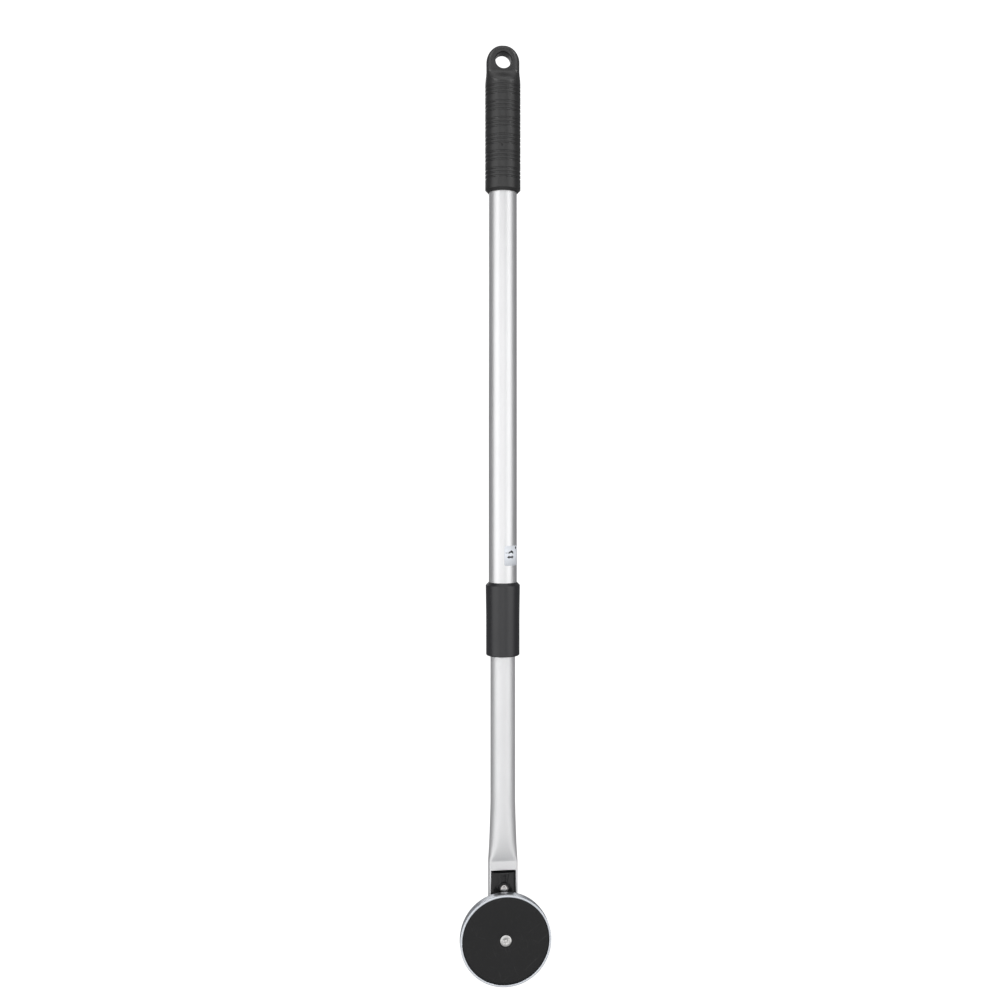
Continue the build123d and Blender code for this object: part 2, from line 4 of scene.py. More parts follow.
import bmesh
import bpy
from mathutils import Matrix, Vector


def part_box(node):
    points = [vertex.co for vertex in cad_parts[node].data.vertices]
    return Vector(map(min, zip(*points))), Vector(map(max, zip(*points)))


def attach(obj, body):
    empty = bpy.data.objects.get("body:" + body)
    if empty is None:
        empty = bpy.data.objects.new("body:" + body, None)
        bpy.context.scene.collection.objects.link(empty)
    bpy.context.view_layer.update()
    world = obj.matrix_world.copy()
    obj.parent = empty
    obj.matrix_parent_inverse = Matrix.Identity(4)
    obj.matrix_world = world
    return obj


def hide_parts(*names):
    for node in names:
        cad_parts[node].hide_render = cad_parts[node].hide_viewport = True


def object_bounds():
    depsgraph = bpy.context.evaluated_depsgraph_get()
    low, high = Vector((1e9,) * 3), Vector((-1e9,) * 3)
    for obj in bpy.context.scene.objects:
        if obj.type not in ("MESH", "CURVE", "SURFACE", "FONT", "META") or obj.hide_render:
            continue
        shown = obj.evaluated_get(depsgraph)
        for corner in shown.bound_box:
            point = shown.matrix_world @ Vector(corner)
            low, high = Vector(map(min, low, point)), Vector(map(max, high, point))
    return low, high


bl_info = {
    "name": "Magnetic Nail Sweeper",
    "version": (1, 0, 0),
    "blender": (4, 5, 0),
    "location": "3D View > Sidebar > Sweeper",
    "description": "Builds the finished surfaces of a telescoping magnetic nail sweeper round its packed frame",
    "category": "Add Mesh",
}

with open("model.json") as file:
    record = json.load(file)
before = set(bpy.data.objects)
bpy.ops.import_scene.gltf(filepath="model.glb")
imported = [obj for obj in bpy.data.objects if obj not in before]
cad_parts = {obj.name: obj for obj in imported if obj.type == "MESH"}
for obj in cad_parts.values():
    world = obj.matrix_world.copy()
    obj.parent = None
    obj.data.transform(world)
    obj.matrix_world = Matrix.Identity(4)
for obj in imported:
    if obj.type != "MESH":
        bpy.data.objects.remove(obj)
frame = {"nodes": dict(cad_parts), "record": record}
cad_low, cad_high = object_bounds()

MM = 0.001
FULL_TURN = 2 * math.pi
FRAME_JOINTS = {joint["name"]: joint for joint in frame["record"]["behaviour"]["joints"]}
PIVOT = Vector(FRAME_JOINTS["head_tilt"]["pos_m"])
BOLT_SHANK = 2.5 * MM                   # radius of the pivot bolt and the magnet's centre screw
TONGUE_FRONT = -10 * MM                 # flat front of the hinge block's tongue, before it is bowed
TONGUE_FLOOR = PIVOT.z + 11.5 * MM      # where the tongue stands on the block
CORNER_SAVING = 8 - FULL_TURN           # girth that rounding a rectangle's corners saves, per unit of radius
LABEL_SWEEP = math.radians(84)
FILM_THICKNESS = 0.12 * MM
INK_THICKNESS = 0.02 * MM


# ---- node expressions -----------------------------------------------------------------------------------
class Value:
    """One node socket that plain arithmetic can be written on; each step adds a Math node."""

    def __init__(self, tree, socket):
        self.tree = tree
        self.socket = socket

    def math(self, operation, *operands):
        node = self.tree.nodes.new("ShaderNodeMath")
        node.operation = operation
        for slot, operand in zip(node.inputs, operands):
            if isinstance(operand, Value):
                self.tree.links.new(operand.socket, slot)
            else:
                slot.default_value = operand
        return Value(self.tree, node.outputs[0])

    def __add__(self, other):
        return self.math("ADD", self, other)

    def __radd__(self, other):
        return self.math("ADD", other, self)

    def __sub__(self, other):
        return self.math("SUBTRACT", self, other)

    def __rsub__(self, other):
        return self.math("SUBTRACT", other, self)

    def __mul__(self, other):
        return self.math("MULTIPLY", self, other)

    def __rmul__(self, other):
        return self.math("MULTIPLY", other, self)

    def __truediv__(self, other):
        return self.math("DIVIDE", self, other)

    def __pow__(self, other):
        return self.math("POWER", self, other)

    def absolute(self):
        return self.math("ABSOLUTE", self)

    def over(self, edge):
        return self.math("GREATER_THAN", self, edge)

    def under(self, edge):
        return self.math("LESS_THAN", self, edge)


def add_node(tree, kind, settings=None, sockets=None, output=0):
    """Adds one node; settings are its own properties, sockets its input values or links."""
    node = tree.nodes.new(kind)
    for name, setting in (settings or {}).items():
        if name == "stops":
            set_stops(node.color_ramp, setting)
        else:
            setattr(node, name, setting)
    for name, value in (sockets or {}).items():
        socket = node.inputs[name]
        if isinstance(value, Value):
            tree.links.new(value.socket, socket)
        else:
            socket.default_value = value
    return Value(tree, node.outputs[output])


def set_stops(ramp, stops):
    """Fills a colour ramp from (position, grey) pairs."""
    while len(ramp.elements) < len(stops):
        ramp.elements.new(0.5)
    for element, (position, grey) in zip(ramp.elements, stops):
        element.position = position
        element.color = (grey, grey, grey, 1)


class Finish:
    """One surface finish: a principled shader and the nodes that vary it."""

    def __init__(self, name, **constants):
        self.material = bpy.data.materials.new(name)
        self.material.use_nodes = True
        self.tree = self.material.node_tree
        self.tree.nodes.clear()
        self.shader = self.tree.nodes.new("ShaderNodeBsdfPrincipled")
        output = self.tree.nodes.new("ShaderNodeOutputMaterial")
        self.tree.links.new(self.shader.outputs[0], output.inputs[0])
        for socket, value in constants.items():
            self.shader.inputs[socket.replace("_", " ").title().replace("Ior", "IOR")].default_value = value

    def node(self, kind, settings=None, sockets=None, output=0):
        return add_node(self.tree, kind, settings, sockets, output)

    def place(self, scale=(1, 1, 1), centre=(0, 0, 0), turn=0.0):
        """Object coordinates, turned about the magnet's axis, with centre moved to the origin, then stretched."""
        coordinates = self.node("ShaderNodeTexCoord", output=3)
        if turn:
            coordinates = self.node("ShaderNodeVectorRotate", {"rotation_type": "Y_AXIS"},
                                    {"Vector": coordinates, "Angle": turn})
        shift = [-c * s for c, s in zip(centre, scale)]
        return self.node("ShaderNodeMapping", sockets={"Vector": coordinates, "Scale": scale, "Location": shift})

    def noise(self, scale, detail=3.0, roughness=0.55, stretch=(1, 1, 1), centre=(0, 0, 0), turn=0.0):
        """Noise with features about 1/scale metres across, stretched where asked."""
        return self.node("ShaderNodeTexNoise", sockets={
            "Vector": self.place(stretch, centre, turn), "Scale": scale, "Detail": detail, "Roughness": roughness})

    def ramp(self, factor, *stops):
        return self.node("ShaderNodeValToRGB", {"stops": stops}, {"Fac": factor})

    def spread(self, factor, low, high):
        """Maps a 0 to 1 value onto low to high."""
        return factor * (high - low) + low

    def radius(self, centre, flatten):
        """Distance from an axis through centre; flatten is 0 along the axis and 1 across it."""
        return self.node("ShaderNodeVectorMath", {"operation": "LENGTH"},
                         {0: self.place(flatten, centre)}, output=1)

    def mix(self, factor, first, second):
        """Blend of two colours, each a colour or a link."""
        node = self.tree.nodes.new("ShaderNodeMix")
        node.data_type = "RGBA"
        for slot, value in ((node.inputs[0], factor), (node.inputs[6], first), (node.inputs[7], second)):
            if isinstance(value, Value):
                self.tree.links.new(value.socket, slot)
            elif slot is node.inputs[0]:
                slot.default_value = value
            else:
                slot.default_value = (*value, 1)
        return Value(self.tree, node.outputs[2])

    def feed(self, socket, value):
        self.tree.links.new(value.socket, self.shader.inputs[socket])

    def relief(self, height, depth, strength=1.0):
        """Bump from a 0 to 1 height that stands for depth in metres."""
        bump = self.node("ShaderNodeBump", sockets={"Height": height, "Distance": depth, "Strength": strength})
        self.feed("Normal", bump)


# ---- finishes -------------------------------------------------------------------------------------------
def moulded_rubber(colours):
    """Black grip compound: fine pitted skin, a dusty bloom and slightly shinier handled patches."""
    finish = Finish("moulded_rubber", Metallic=0.0, Specular_IOR_Level=0.75)
    pits = finish.noise(2600, 4, 0.6)
    skin = finish.noise(420, 4, 0.6)
    bloom = finish.noise(45, 4, 0.6)
    handled = finish.noise(16, 2, 0.5, centre=(0.004, 0, 0.02))
    base = tuple(colours.grip)
    lighter = tuple(channel * 2.1 + 0.004 for channel in base)
    tone = finish.mix(bloom * 0.5 + pits * 0.25, base, lighter)
    finish.feed("Base Color", tone)
    finish.feed("Roughness", finish.spread(handled, 0.3, 0.42) + skin * 0.06)
    finish.relief(pits * 0.4 + skin * 0.6, 0.000035, 0.8)
    return finish.material


def anodised_aluminium(colours, name="anodised_aluminium", shade=1.0, matt=0.0):
    """Satin drawn tube: fine lengthwise draw lines, faint cloudiness and a few rub marks; a shade below 1 darkens
    the whole base colour as painted shade.
    """
    finish = Finish(name, Metallic=1.0)
    lines = finish.noise(1.0, 5, 0.7, stretch=(2600, 2600, 9))
    cloud = finish.noise(24, 3, 0.5)
    grain = finish.noise(5200, 2, 0.5)
    rubs = finish.ramp(finish.noise(1.0, 3, 0.6, stretch=(260, 260, 1400)), (0.66, 0.0), (0.74, 1.0))
    base = tuple(channel * shade for channel in colours.tube)
    darker = tuple(channel * 0.93 for channel in base)
    tone = finish.mix(lines * 0.5 + cloud * 0.3 + rubs * 0.2, base, darker)
    finish.feed("Base Color", tone)
    finish.feed("Roughness", finish.spread(cloud, 0.36 + matt, 0.44 + matt) + lines * 0.06 + rubs * 0.06)
    finish.relief(lines * 0.6 + grain * 0.4, 0.0000035, 0.8)
    return finish.material


def grained_plastic(colours):
    """Spark-grained black plastic of the twist lock, a little burnished by hands."""
    finish = Finish("grained_plastic", Metallic=0.0, Specular_IOR_Level=0.7)
    grain = finish.noise(3600, 3, 0.65)
    dust = finish.noise(60, 4, 0.6)
    handled = finish.noise(28, 2, 0.5)
    base = tuple(colours.collar)
    lighter = tuple(channel * 1.9 + 0.004 for channel in base)
    finish.feed("Base Color", finish.mix(dust * 0.5 + grain * 0.4, base, lighter))
    finish.feed("Roughness", finish.spread(handled, 0.3, 0.4) + grain * 0.06)
    finish.relief(grain, 0.000014, 0.8)
    return finish.material


def gloss_plastic(colours):
    """Glossy black moulding with faint flow marks and hairline wear."""
    finish = Finish("gloss_plastic", Metallic=0.0, Coat_Roughness=0.08, Specular_IOR_Level=0.26)
    flow = finish.noise(130, 3, 0.5, stretch=(1, 1, 0.35))
    hair = finish.ramp(finish.noise(1.0, 2, 0.6, stretch=(2400, 2400, 160)), (0.6, 0.0), (0.72, 1.0))
    base = tuple(colours.block)
    lighter = tuple(channel * 1.7 + 0.006 for channel in base)
    finish.feed("Base Color", finish.mix(flow * 0.6 + hair * 0.4, base, lighter))
    finish.feed("Roughness", finish.spread(flow, 0.16, 0.24) + hair * 0.1)
    finish.feed("Coat Weight", finish.spread(flow, 0.02, 0.12))
    finish.relief(flow * 0.8 + hair * 0.2, 0.000012, 0.5)
    return finish.material


def turned_zinc(colours, centre):
    """Bright zinc plate on a turned cup: rings left by the tool, soft blue-grey clouds and tiny nicks."""
    finish = Finish("turned_zinc", Metallic=1.0)
    radius = finish.radius(centre, (1, 0, 1))
    rings = finish.node("ShaderNodeTexNoise", {"noise_dimensions": "1D"},
                        {"W": radius * 3600, "Scale": 1.0, "Detail": 3.0, "Roughness": 0.6})
    cloud = finish.noise(55, 4, 0.55)
    nicks = finish.ramp(finish.noise(900, 2, 0.4), (0.68, 0.0), (0.74, 1.0))
    base = tuple(colours.zinc)
    cool = (base[0] * 0.86, base[1] * 0.89, base[2] * 0.94)
    finish.feed("Base Color", finish.mix(cloud * 0.6 + nicks * 0.4, base, cool))
    finish.feed("Roughness", finish.spread(cloud, 0.2, 0.34) + rings * 0.08 + nicks * 0.1)
    finish.relief(rings * 0.7 + nicks * 0.3, 0.000008, 0.7)
    return finish.material


def plated_steel(colours):
    """Zinc-plated fasteners: soft crystalline mottling."""
    finish = Finish("plated_steel", Metallic=1.0)
    mottle = finish.noise(700, 4, 0.6)
    cloud = finish.noise(150, 3, 0.5)
    base = tuple(colours.steel)
    warm = (base[0] * 0.9, base[1] * 0.87, base[2] * 0.8)
    finish.feed("Base Color", finish.mix(cloud * 0.5 + mottle * 0.4, base, warm))
    finish.feed("Roughness", finish.spread(mottle, 0.26, 0.42))
    finish.relief(mottle, 0.00001, 0.6)
    return finish.material


def painted_shade_steel():
    """Washer steel coloured near-black as painted shade round the domed nut, with tiny pale specks of wear."""
    finish = Finish("painted_shade_steel", Metallic=0.6)
    specks = finish.ramp(finish.noise(1500, 3, 0.5), (0.66, 0.0), (0.76, 1.0))
    tone = finish.noise(240, 3, 0.5)
    # The near-black colour is painted shade; the pale specks are wear.
    finish.feed("Base Color", finish.mix(specks * 0.6 + tone * 0.2, (0.012, 0.012, 0.013), (0.16, 0.16, 0.16)))
    finish.feed("Roughness", finish.spread(tone, 0.34, 0.5))
    finish.relief(tone * 0.6 + specks * 0.4, 0.00001, 0.6)
    return finish.material


def polished_chrome(colours):
    """Polished domed nut chrome, its base colour darkened as painted shade for the dark surroundings it reflects,
    with the faintest orange peel.
    """
    finish = Finish("polished_chrome", Metallic=1.0)
    peel = finish.noise(900, 2, 0.5)
    haze = finish.noise(200, 3, 0.5)
    # The chrome colour is kept darker than bright chrome as painted shade.
    base = tuple(colours.chrome)
    finish.feed("Base Color", finish.mix(haze, base, tuple(channel * 0.94 for channel in base)))
    finish.feed("Roughness", finish.spread(haze, 0.04, 0.08))
    finish.relief(peel, 0.000004, 0.4)
    return finish.material


def scuffed_face(colours, centre):
    """Black magnet face: fine grain, turning rings and pale scuffs where nails have dragged."""
    finish = Finish("scuffed_face", Metallic=0.0, Specular_IOR_Level=0.35)
    grain = finish.noise(2800, 3, 0.6)
    dust = finish.noise(70, 5, 0.65)
    radius = finish.radius(centre, (1, 0, 1))
    rings = finish.node("ShaderNodeTexNoise", {"noise_dimensions": "1D"},
                        {"W": radius * 1500, "Scale": 1.0, "Detail": 3.0, "Roughness": 0.6})
    wear = 0.0
    for stretch, turn in (((900, 1, 50), 0.35), ((1000, 1, 60), 1.2), ((820, 1, 45), 2.3), ((1100, 1, 70), 2.9)):
        scuffs = finish.noise(1.0, 4, 0.6, stretch=stretch, centre=(turn, 0, 0.1), turn=turn)
        wear = wear + finish.ramp(scuffs, (0.63, 0.0), (0.71, 1.0)) * dust
    base = tuple(colours.face)
    pale = tuple(channel * 4 + 0.035 for channel in base)
    finish.feed("Base Color", finish.mix(wear * 0.7 + dust * 0.08, base, pale))
    finish.feed("Roughness", finish.spread(dust, 0.42, 0.58) + wear * 0.1)
    finish.relief(grain * 0.5 + rings * 0.3 - wear * 0.4, 0.00005, 0.6)
    return finish.material


def sintered_ferrite():
    """Dull charcoal magnet ceramic with open pores."""
    finish = Finish("sintered_ferrite", Metallic=0.0)
    pores = finish.noise(1900, 4, 0.6)
    tone = finish.noise(90, 3, 0.5)
    finish.feed("Base Color", finish.mix(tone * 0.6 + pores * 0.4, (0.045, 0.044, 0.043), (0.09, 0.088, 0.085)))
    finish.feed("Roughness", finish.spread(pores, 0.6, 0.8))
    finish.relief(pores, 0.00005, 0.8)
    return finish.material


def natural_nylon(colours):
    """Milky bearing plastic with soft mould marks."""
    finish = Finish("natural_nylon", Metallic=0.0, Subsurface_Weight=0.08)
    flow = finish.noise(260, 3, 0.5)
    base = tuple(colours.nylon)
    finish.feed("Base Color", finish.mix(flow, base, tuple(channel * 0.88 for channel in base)))
    finish.feed("Roughness", finish.spread(flow, 0.38, 0.52))
    finish.relief(flow, 0.00002, 0.5)
    return finish.material


def label_film(colours):
    """Pale satin label film with a faint fibre and scuffed corners."""
    finish = Finish("label_film", Metallic=0.0)
    fibre = finish.noise(1500, 3, 0.6, stretch=(1, 1, 0.4))
    rub = finish.ramp(finish.noise(260, 4, 0.6), (0.6, 0.0), (0.8, 1.0))
    base = tuple(colours.label)
    finish.feed("Base Color", finish.mix(rub * 0.5 + fibre * 0.15, base, tuple(c * 0.86 for c in base)))
    finish.feed("Roughness", finish.spread(fibre, 0.3, 0.42))
    finish.relief(fibre, 0.000008, 0.5)
    return finish.material


def printing_ink():
    """Dark ink of the turn marks, slightly broken."""
    finish = Finish("printing_ink", Metallic=0.0)
    break_up = finish.noise(2400, 3, 0.6)
    finish.feed("Base Color", finish.mix(break_up, (0.004, 0.005, 0.007), (0.018, 0.02, 0.026)))
    finish.feed("Roughness", finish.spread(break_up, 0.35, 0.5))
    finish.relief(break_up, 0.000006, 0.4)
    return finish.material


# ---- mesh work ------------------------------------------------------------------------------------------
def link_object(name, work, mesh):
    """Object at the origin from an edited mesh, with its faces outwards."""
    bmesh.ops.recalc_face_normals(work, faces=work.faces)
    work.to_mesh(mesh)
    work.free()
    made = bpy.data.objects.new(name, mesh)
    bpy.context.scene.collection.objects.link(made)
    return made


def make_object(name, points, faces):
    """Smooth-shaded object from points and faces, with doubles merged."""
    mesh = bpy.data.meshes.new(name)
    mesh.from_pydata(points, [], faces)
    work = bmesh.new()
    work.from_mesh(mesh)
    bmesh.ops.remove_doubles(work, verts=work.verts, dist=MM * 0.0005)
    for face in work.faces:
        face.smooth = True
    return link_object(name, work, mesh)


def about_z(x=0.0, y=0.0):
    """Places a spun point round an upright axis: distance is the level."""
    return lambda radius, angle, level: (x + radius * math.cos(angle), y + radius * math.sin(angle), level)


def about_y(x, z):
    """Places a spun point round a forward axis: distance is how far it stands in front of the pole."""
    return lambda radius, angle, reach: (x + radius * math.cos(angle), -reach, z + radius * math.sin(angle))


def about_x(y, z):
    """Places a spun point round the pivot's axis: distance is the sideways place."""
    return lambda radius, angle, side: (side, y + radius * math.cos(angle), z + radius * math.sin(angle))


def spin(name, outline, place, steps=96, closed=False):
    """Solid turned from an outline of (radius, distance); outline may be a function of the angle."""
    at_angle = outline if callable(outline) else lambda angle: outline
    rings = [[place(radius, FULL_TURN * step / steps, distance)
              for radius, distance in at_angle(FULL_TURN * step / steps)] for step in range(steps)]
    count = len(rings[0])
    points = [point for ring in rings for point in ring]
    faces = []
    for step in range(steps):
        here = step * count
        there = (step + 1) % steps * count
        for index in range(count if closed else count - 1):
            ahead = (index + 1) % count
            faces.append((here + index, here + ahead, there + ahead, there + index))
    return make_object(name, points, faces)


def soften(corners, bend, steps=5, closed=False):
    """Rounds an outline's corners: corners are (u, v) or (u, v, own radius)."""
    softened = []
    last = len(corners) - 1
    for index, corner in enumerate(corners):
        radius = corner[2] if len(corner) > 2 else bend
        here = Vector(corner[:2])
        if radius <= 0 or (not closed and index in (0, last)):
            softened.append(tuple(here))
            continue
        back = (Vector(corners[index - 1][:2]) - here)
        ahead = (Vector(corners[(index + 1) % len(corners)][:2]) - here)
        half_angle = back.angle(ahead) / 2
        if half_angle > math.radians(88):
            softened.append(tuple(here))
            continue
        reach = min(radius / math.tan(half_angle), back.length * 0.49, ahead.length * 0.49)
        start = here + back.normalized() * reach
        end = here + ahead.normalized() * reach
        true_radius = reach * math.tan(half_angle)
        bisector = (back.normalized() + ahead.normalized()).normalized()
        centre = here + bisector * (true_radius / math.sin(half_angle))
        first = start - centre
        turn = first.angle_signed(end - centre)
        for step in range(steps + 1):
            angle = -turn * step / steps
            rotated = Vector((first.x * math.cos(angle) - first.y * math.sin(angle),
                              first.x * math.sin(angle) + first.y * math.cos(angle)))
            softened.append(tuple(centre + rotated))
    return softened


def finished(made, materials, body, slot, *nodes):
    """Gives a piece its finish and its body and hides the frame nodes that it stands for; slot is not used."""
    made.data.materials.clear()
    for material in materials:
        made.data.materials.append(material)
    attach(made, body)
    if nodes:
        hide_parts(*nodes)
    return made


def settle(made):
    """Turns a piece's modifiers into plain mesh."""
    graph = bpy.context.evaluated_depsgraph_get()
    plain = bpy.data.meshes.new_from_object(made.evaluated_get(graph))
    made.modifiers.clear()
    made.data = plain
    return made


def add_bevel(made, width, segments=3, angle=35):
    """Rounds the edges sharper than an angle."""
    bevel = made.modifiers.new("edge_radius", "BEVEL")
    bevel.width = width
    bevel.segments = segments
    bevel.limit_method = "ANGLE"
    bevel.angle_limit = math.radians(angle)
    return settle(made)


def slice_mesh(work, axis, places):
    """Cuts a mesh along planes square to one axis, keeping both sides."""
    normal = Vector((0, 0, 0))
    normal[axis] = 1
    for place in places:
        point = Vector((0, 0, 0))
        point[axis] = place
        bmesh.ops.bisect_plane(work, geom=work.verts[:] + work.edges[:] + work.faces[:], plane_co=point,
                               plane_no=normal, dist=MM * 0.0001)


def hex_radius(across, angle):
    """Distance from the middle of a hexagon to its side in one direction."""
    sixth = FULL_TURN / 6
    return across / 2 / math.cos((angle + sixth / 2) % sixth - sixth / 2)


def hex_nut_outline(across, bore, low, high, chamfer):
    """Outline of a chamfered hexagon nut, as a function of the angle."""
    def outline(angle):
        corner = hex_radius(across, angle)
        drop = (corner - across / 2) * 0.6 + chamfer * 0.2
        inner = across / 2 * 0.97
        return [(bore, low), (inner, low), (corner, low + drop), (corner, high - drop), (inner, high),
                (bore + chamfer, high), (bore, high - chamfer)]
    return outline


# ---- geometry node trees --------------------------------------------------------------------------------
def new_tree(name, inputs):
    """Geometry node group with a mesh in, a mesh out and named float or integer inputs."""
    tree = bpy.data.node_groups.new(name, "GeometryNodeTree")
    tree.interface.new_socket("Geometry", in_out="INPUT", socket_type="NodeSocketGeometry")
    for label, kind in inputs:
        tree.interface.new_socket(label, in_out="INPUT", socket_type=kind)
    tree.interface.new_socket("Geometry", in_out="OUTPUT", socket_type="NodeSocketGeometry")
    entry = tree.nodes.new("NodeGroupInput")
    values = {socket.name: Value(tree, socket) for socket in entry.outputs if socket.name}
    return tree, values


def close_tree(tree, geometry, material):
    """Realizes the geometry, sets its material and joins it to the output."""
    real = add_node(tree, "GeometryNodeRealizeInstances", sockets={"Geometry": geometry})
    dressed = add_node(tree, "GeometryNodeSetMaterial", sockets={"Geometry": real, "Material": material})
    leave = tree.nodes.new("NodeGroupOutput")
    tree.links.new(dressed.socket, leave.inputs[0])


def run_tree(made, tree, values):
    """Runs a node group on a piece with its inputs set by identifier, then keeps the plain mesh."""
    modifier = made.modifiers.new(tree.name, "NODES")
    modifier.node_group = tree
    identifiers = {item.name: item.identifier for item in tree.interface.items_tree
                   if item.item_type == "SOCKET" and item.in_out == "INPUT"}
    for label, value in values.items():
        modifier[identifiers[label]] = value
    return settle(made)


def groove_tree(material):
    """Sinks groups of round-bottomed grooves into a turned grip, by level."""
    tree, given = new_tree("grip_grooves", [
        ("Lowest group", "NodeSocketFloat"), ("Group pitch", "NodeSocketFloat"),
        ("Groups", "NodeSocketFloat"), ("Groove pitch", "NodeSocketFloat"),
        ("Half width", "NodeSocketFloat"), ("Depth", "NodeSocketFloat")])
    position = add_node(tree, "GeometryNodeInputPosition")
    level = add_node(tree, "ShaderNodeSeparateXYZ", sockets={0: position}, output=2)
    normal = add_node(tree, "GeometryNodeInputNormal")
    pitch = given["Group pitch"]
    from_lowest = level - given["Lowest group"]
    group = level.math("ROUND", from_lowest / pitch)
    allowed = group.over(-0.5) * group.under(given["Groups"] - 0.5)
    in_group = from_lowest - group * pitch
    step = level.math("ROUND", in_group / given["Groove pitch"])
    inside = step.absolute().under(1.5)
    across = (in_group - step * given["Groove pitch"]) / given["Half width"]
    bowl = level.math("MAXIMUM", 1 - across * across, 0.0) ** 0.5
    sink = bowl * allowed * inside * given["Depth"] * -1
    offset = add_node(tree, "ShaderNodeVectorMath", {"operation": "SCALE"}, {0: normal, "Scale": sink})
    moved = add_node(tree, "GeometryNodeSetPosition", sockets={"Geometry": given["Geometry"], "Offset": offset})
    close_tree(tree, moved, material)
    return tree


def row_tree(material):
    """Repeats a piece along a straight row."""
    tree, given = new_tree("fastener_row", [
        ("Count", "NodeSocketInt"), ("Step", "NodeSocketVector")])
    row = add_node(tree, "GeometryNodeMeshLine", {"mode": "OFFSET"},
                   {"Count": given["Count"], "Offset": given["Step"]})
    spread = add_node(tree, "GeometryNodeInstanceOnPoints", sockets={
        "Points": row, "Instance": given["Geometry"]})
    close_tree(tree, spread, material)
    return tree


# ---- sizes and colours ----------------------------------------------------------------------------------
def length(label, default, words):
    return bpy.props.FloatProperty(name=label, description=words, default=default, unit="LENGTH", precision=5)


def colour(label, default, words):
    return bpy.props.FloatVectorProperty(name=label, description=words, default=default, subtype="COLOR",
                                         size=3, min=0.0, max=1.0)


class SweeperGripSizes(bpy.types.PropertyGroup):
    """Sizes of the hand grip."""
    head_radius: length("Head radius", 0.0147, "Radius of the round top of the grip")
    head_drop: length("Head drop", 0.001, "How far the round top's centre lies below the hang hole")
    head_thickness: length("Head thickness", 0.014, "Thickness of the flat head")
    head_edge: length("Head edge", 0.005, "Edge radius of the flat head")
    shoulder_top: length("Shoulder top", -0.0085, "Level where the flat head starts")
    shoulder_bottom: length("Shoulder bottom", -0.022, "Level where the round body starts")
    rim_chamfer: length("Rim chamfer", 0.0024, "Chamfer at the open lower rim")
    hole_radius: length("Hole radius", 0.0071, "Radius of the hang hole")
    hole_lip: length("Hole lip", 0.0022, "Rounding of the hang hole's lips")
    lowest_group: length("Lowest grooves", -0.1013, "Level of the lowest group of grooves")
    group_pitch: length("Group pitch", 0.0147, "Spacing of the groups of grooves")
    groove_pitch: length("Groove pitch", 0.0036, "Spacing of the grooves in a group")
    groove_width: length("Groove width", 0.0017, "Width of one groove")
    groove_depth: length("Groove depth", 0.00062, "Depth of one groove")
    groups: bpy.props.IntProperty(name="Groups", description="How many groups of grooves", default=6, min=1)
    bore_radius: length("Bore radius", 0.0125, "Radius of the bore that takes the upper tube")


class SweeperPoleSizes(bpy.types.PropertyGroup):
    """Sizes of the tubes and the twist lock."""
    tube_wall: length("Tube wall", 0.0012, "Wall of both tubes")
    press_length: length("Pressed length", 0.0525, "Length over which the lower tube is pressed flat")
    press_corner: length("Pressed corner", 0.0018, "Corner radius of the pressed end")
    pivot_drop: length("Pivot drop", 0.0395, "From the crease down to the pivot")
    front_cut: length("Front opening", 0.0081, "From the crease to the edge of the front opening")
    back_cut: length("Back opening", 0.0235, "From the crease to the edge of the back wall")
    collar_waist: length("Collar taper", 0.030, "Length of the collar's tapered part")
    collar_waist_radius: length("Collar waist", 0.0149, "Radius of the collar below its taper")
    collar_chamfer: length("Collar chamfer", 0.0026, "Chamfer at the collar's top")
    collar_foot: length("Collar foot", 0.0042, "Rounding at the collar's lower end")


class SweeperHeadSizes(bpy.types.PropertyGroup):
    """Sizes of the hinge block and the magnet."""
    cup_wall: length("Cup wall", 0.0018, "Wall of the magnet's cup")
    cup_base: length("Cup base", 0.002, "Base of the magnet's cup")
    lip_edge: length("Lip edge", 0.00035, "Edge radius of the cup's lip")
    block_bow: length("Block bow", 0.004, "How far the block's front face bows forward")
    keel_height: length("Keel height", 0.0007, "Height of the raised middle of the block's front face")
    keel_top: length("Keel top", 0.0041, "Half width of the raised middle at its top")
    keel_foot: length("Keel foot", 0.0024, "Half width of the raised middle at the domed nut")
    recess_radius: length("Recess radius", 0.0052, "Radius of the recess round the domed nut")
    recess_depth: length("Recess depth", 0.0005, "Depth of the recess round the domed nut")
    boss_radius: length("Boss radius", 0.0065, "Radius of the block round the pivot")


class SweeperColours(bpy.types.PropertyGroup):
    """Base colours of the finishes."""
    grip: colour("Grip", (0.005, 0.0048, 0.005), "Grip rubber")
    tube: colour("Tubes", (0.86, 0.86, 0.865), "Anodised aluminium")
    collar: colour("Lock", (0.0055, 0.0055, 0.0072), "Twist lock plastic")
    block: colour("Block", (0.005, 0.005, 0.0052), "Hinge block plastic")
    zinc: colour("Cup", (0.74, 0.76, 0.79), "Zinc plate on the cup")
    steel: colour("Fasteners", (0.66, 0.66, 0.67), "Zinc-plated steel")
    # The domed nut's chrome is darkened below bright chrome as painted shade for the dark surroundings it reflects.
    chrome: colour("Domed nut", (0.46, 0.445, 0.435), "Chrome plate")
    face: colour("Magnet face", (0.0035, 0.0035, 0.0038), "Black face of the magnet")
    nylon: colour("Bearings", (0.74, 0.73, 0.69), "Bearing plastic")
    label: colour("Label", (0.84, 0.87, 0.92), "Label film")


# ---- grip -----------------------------------------------------------------------------------------------
def smooth_step(value):
    value = min(max(value, 0.0), 1.0)
    return value * value * (3 - 2 * value)


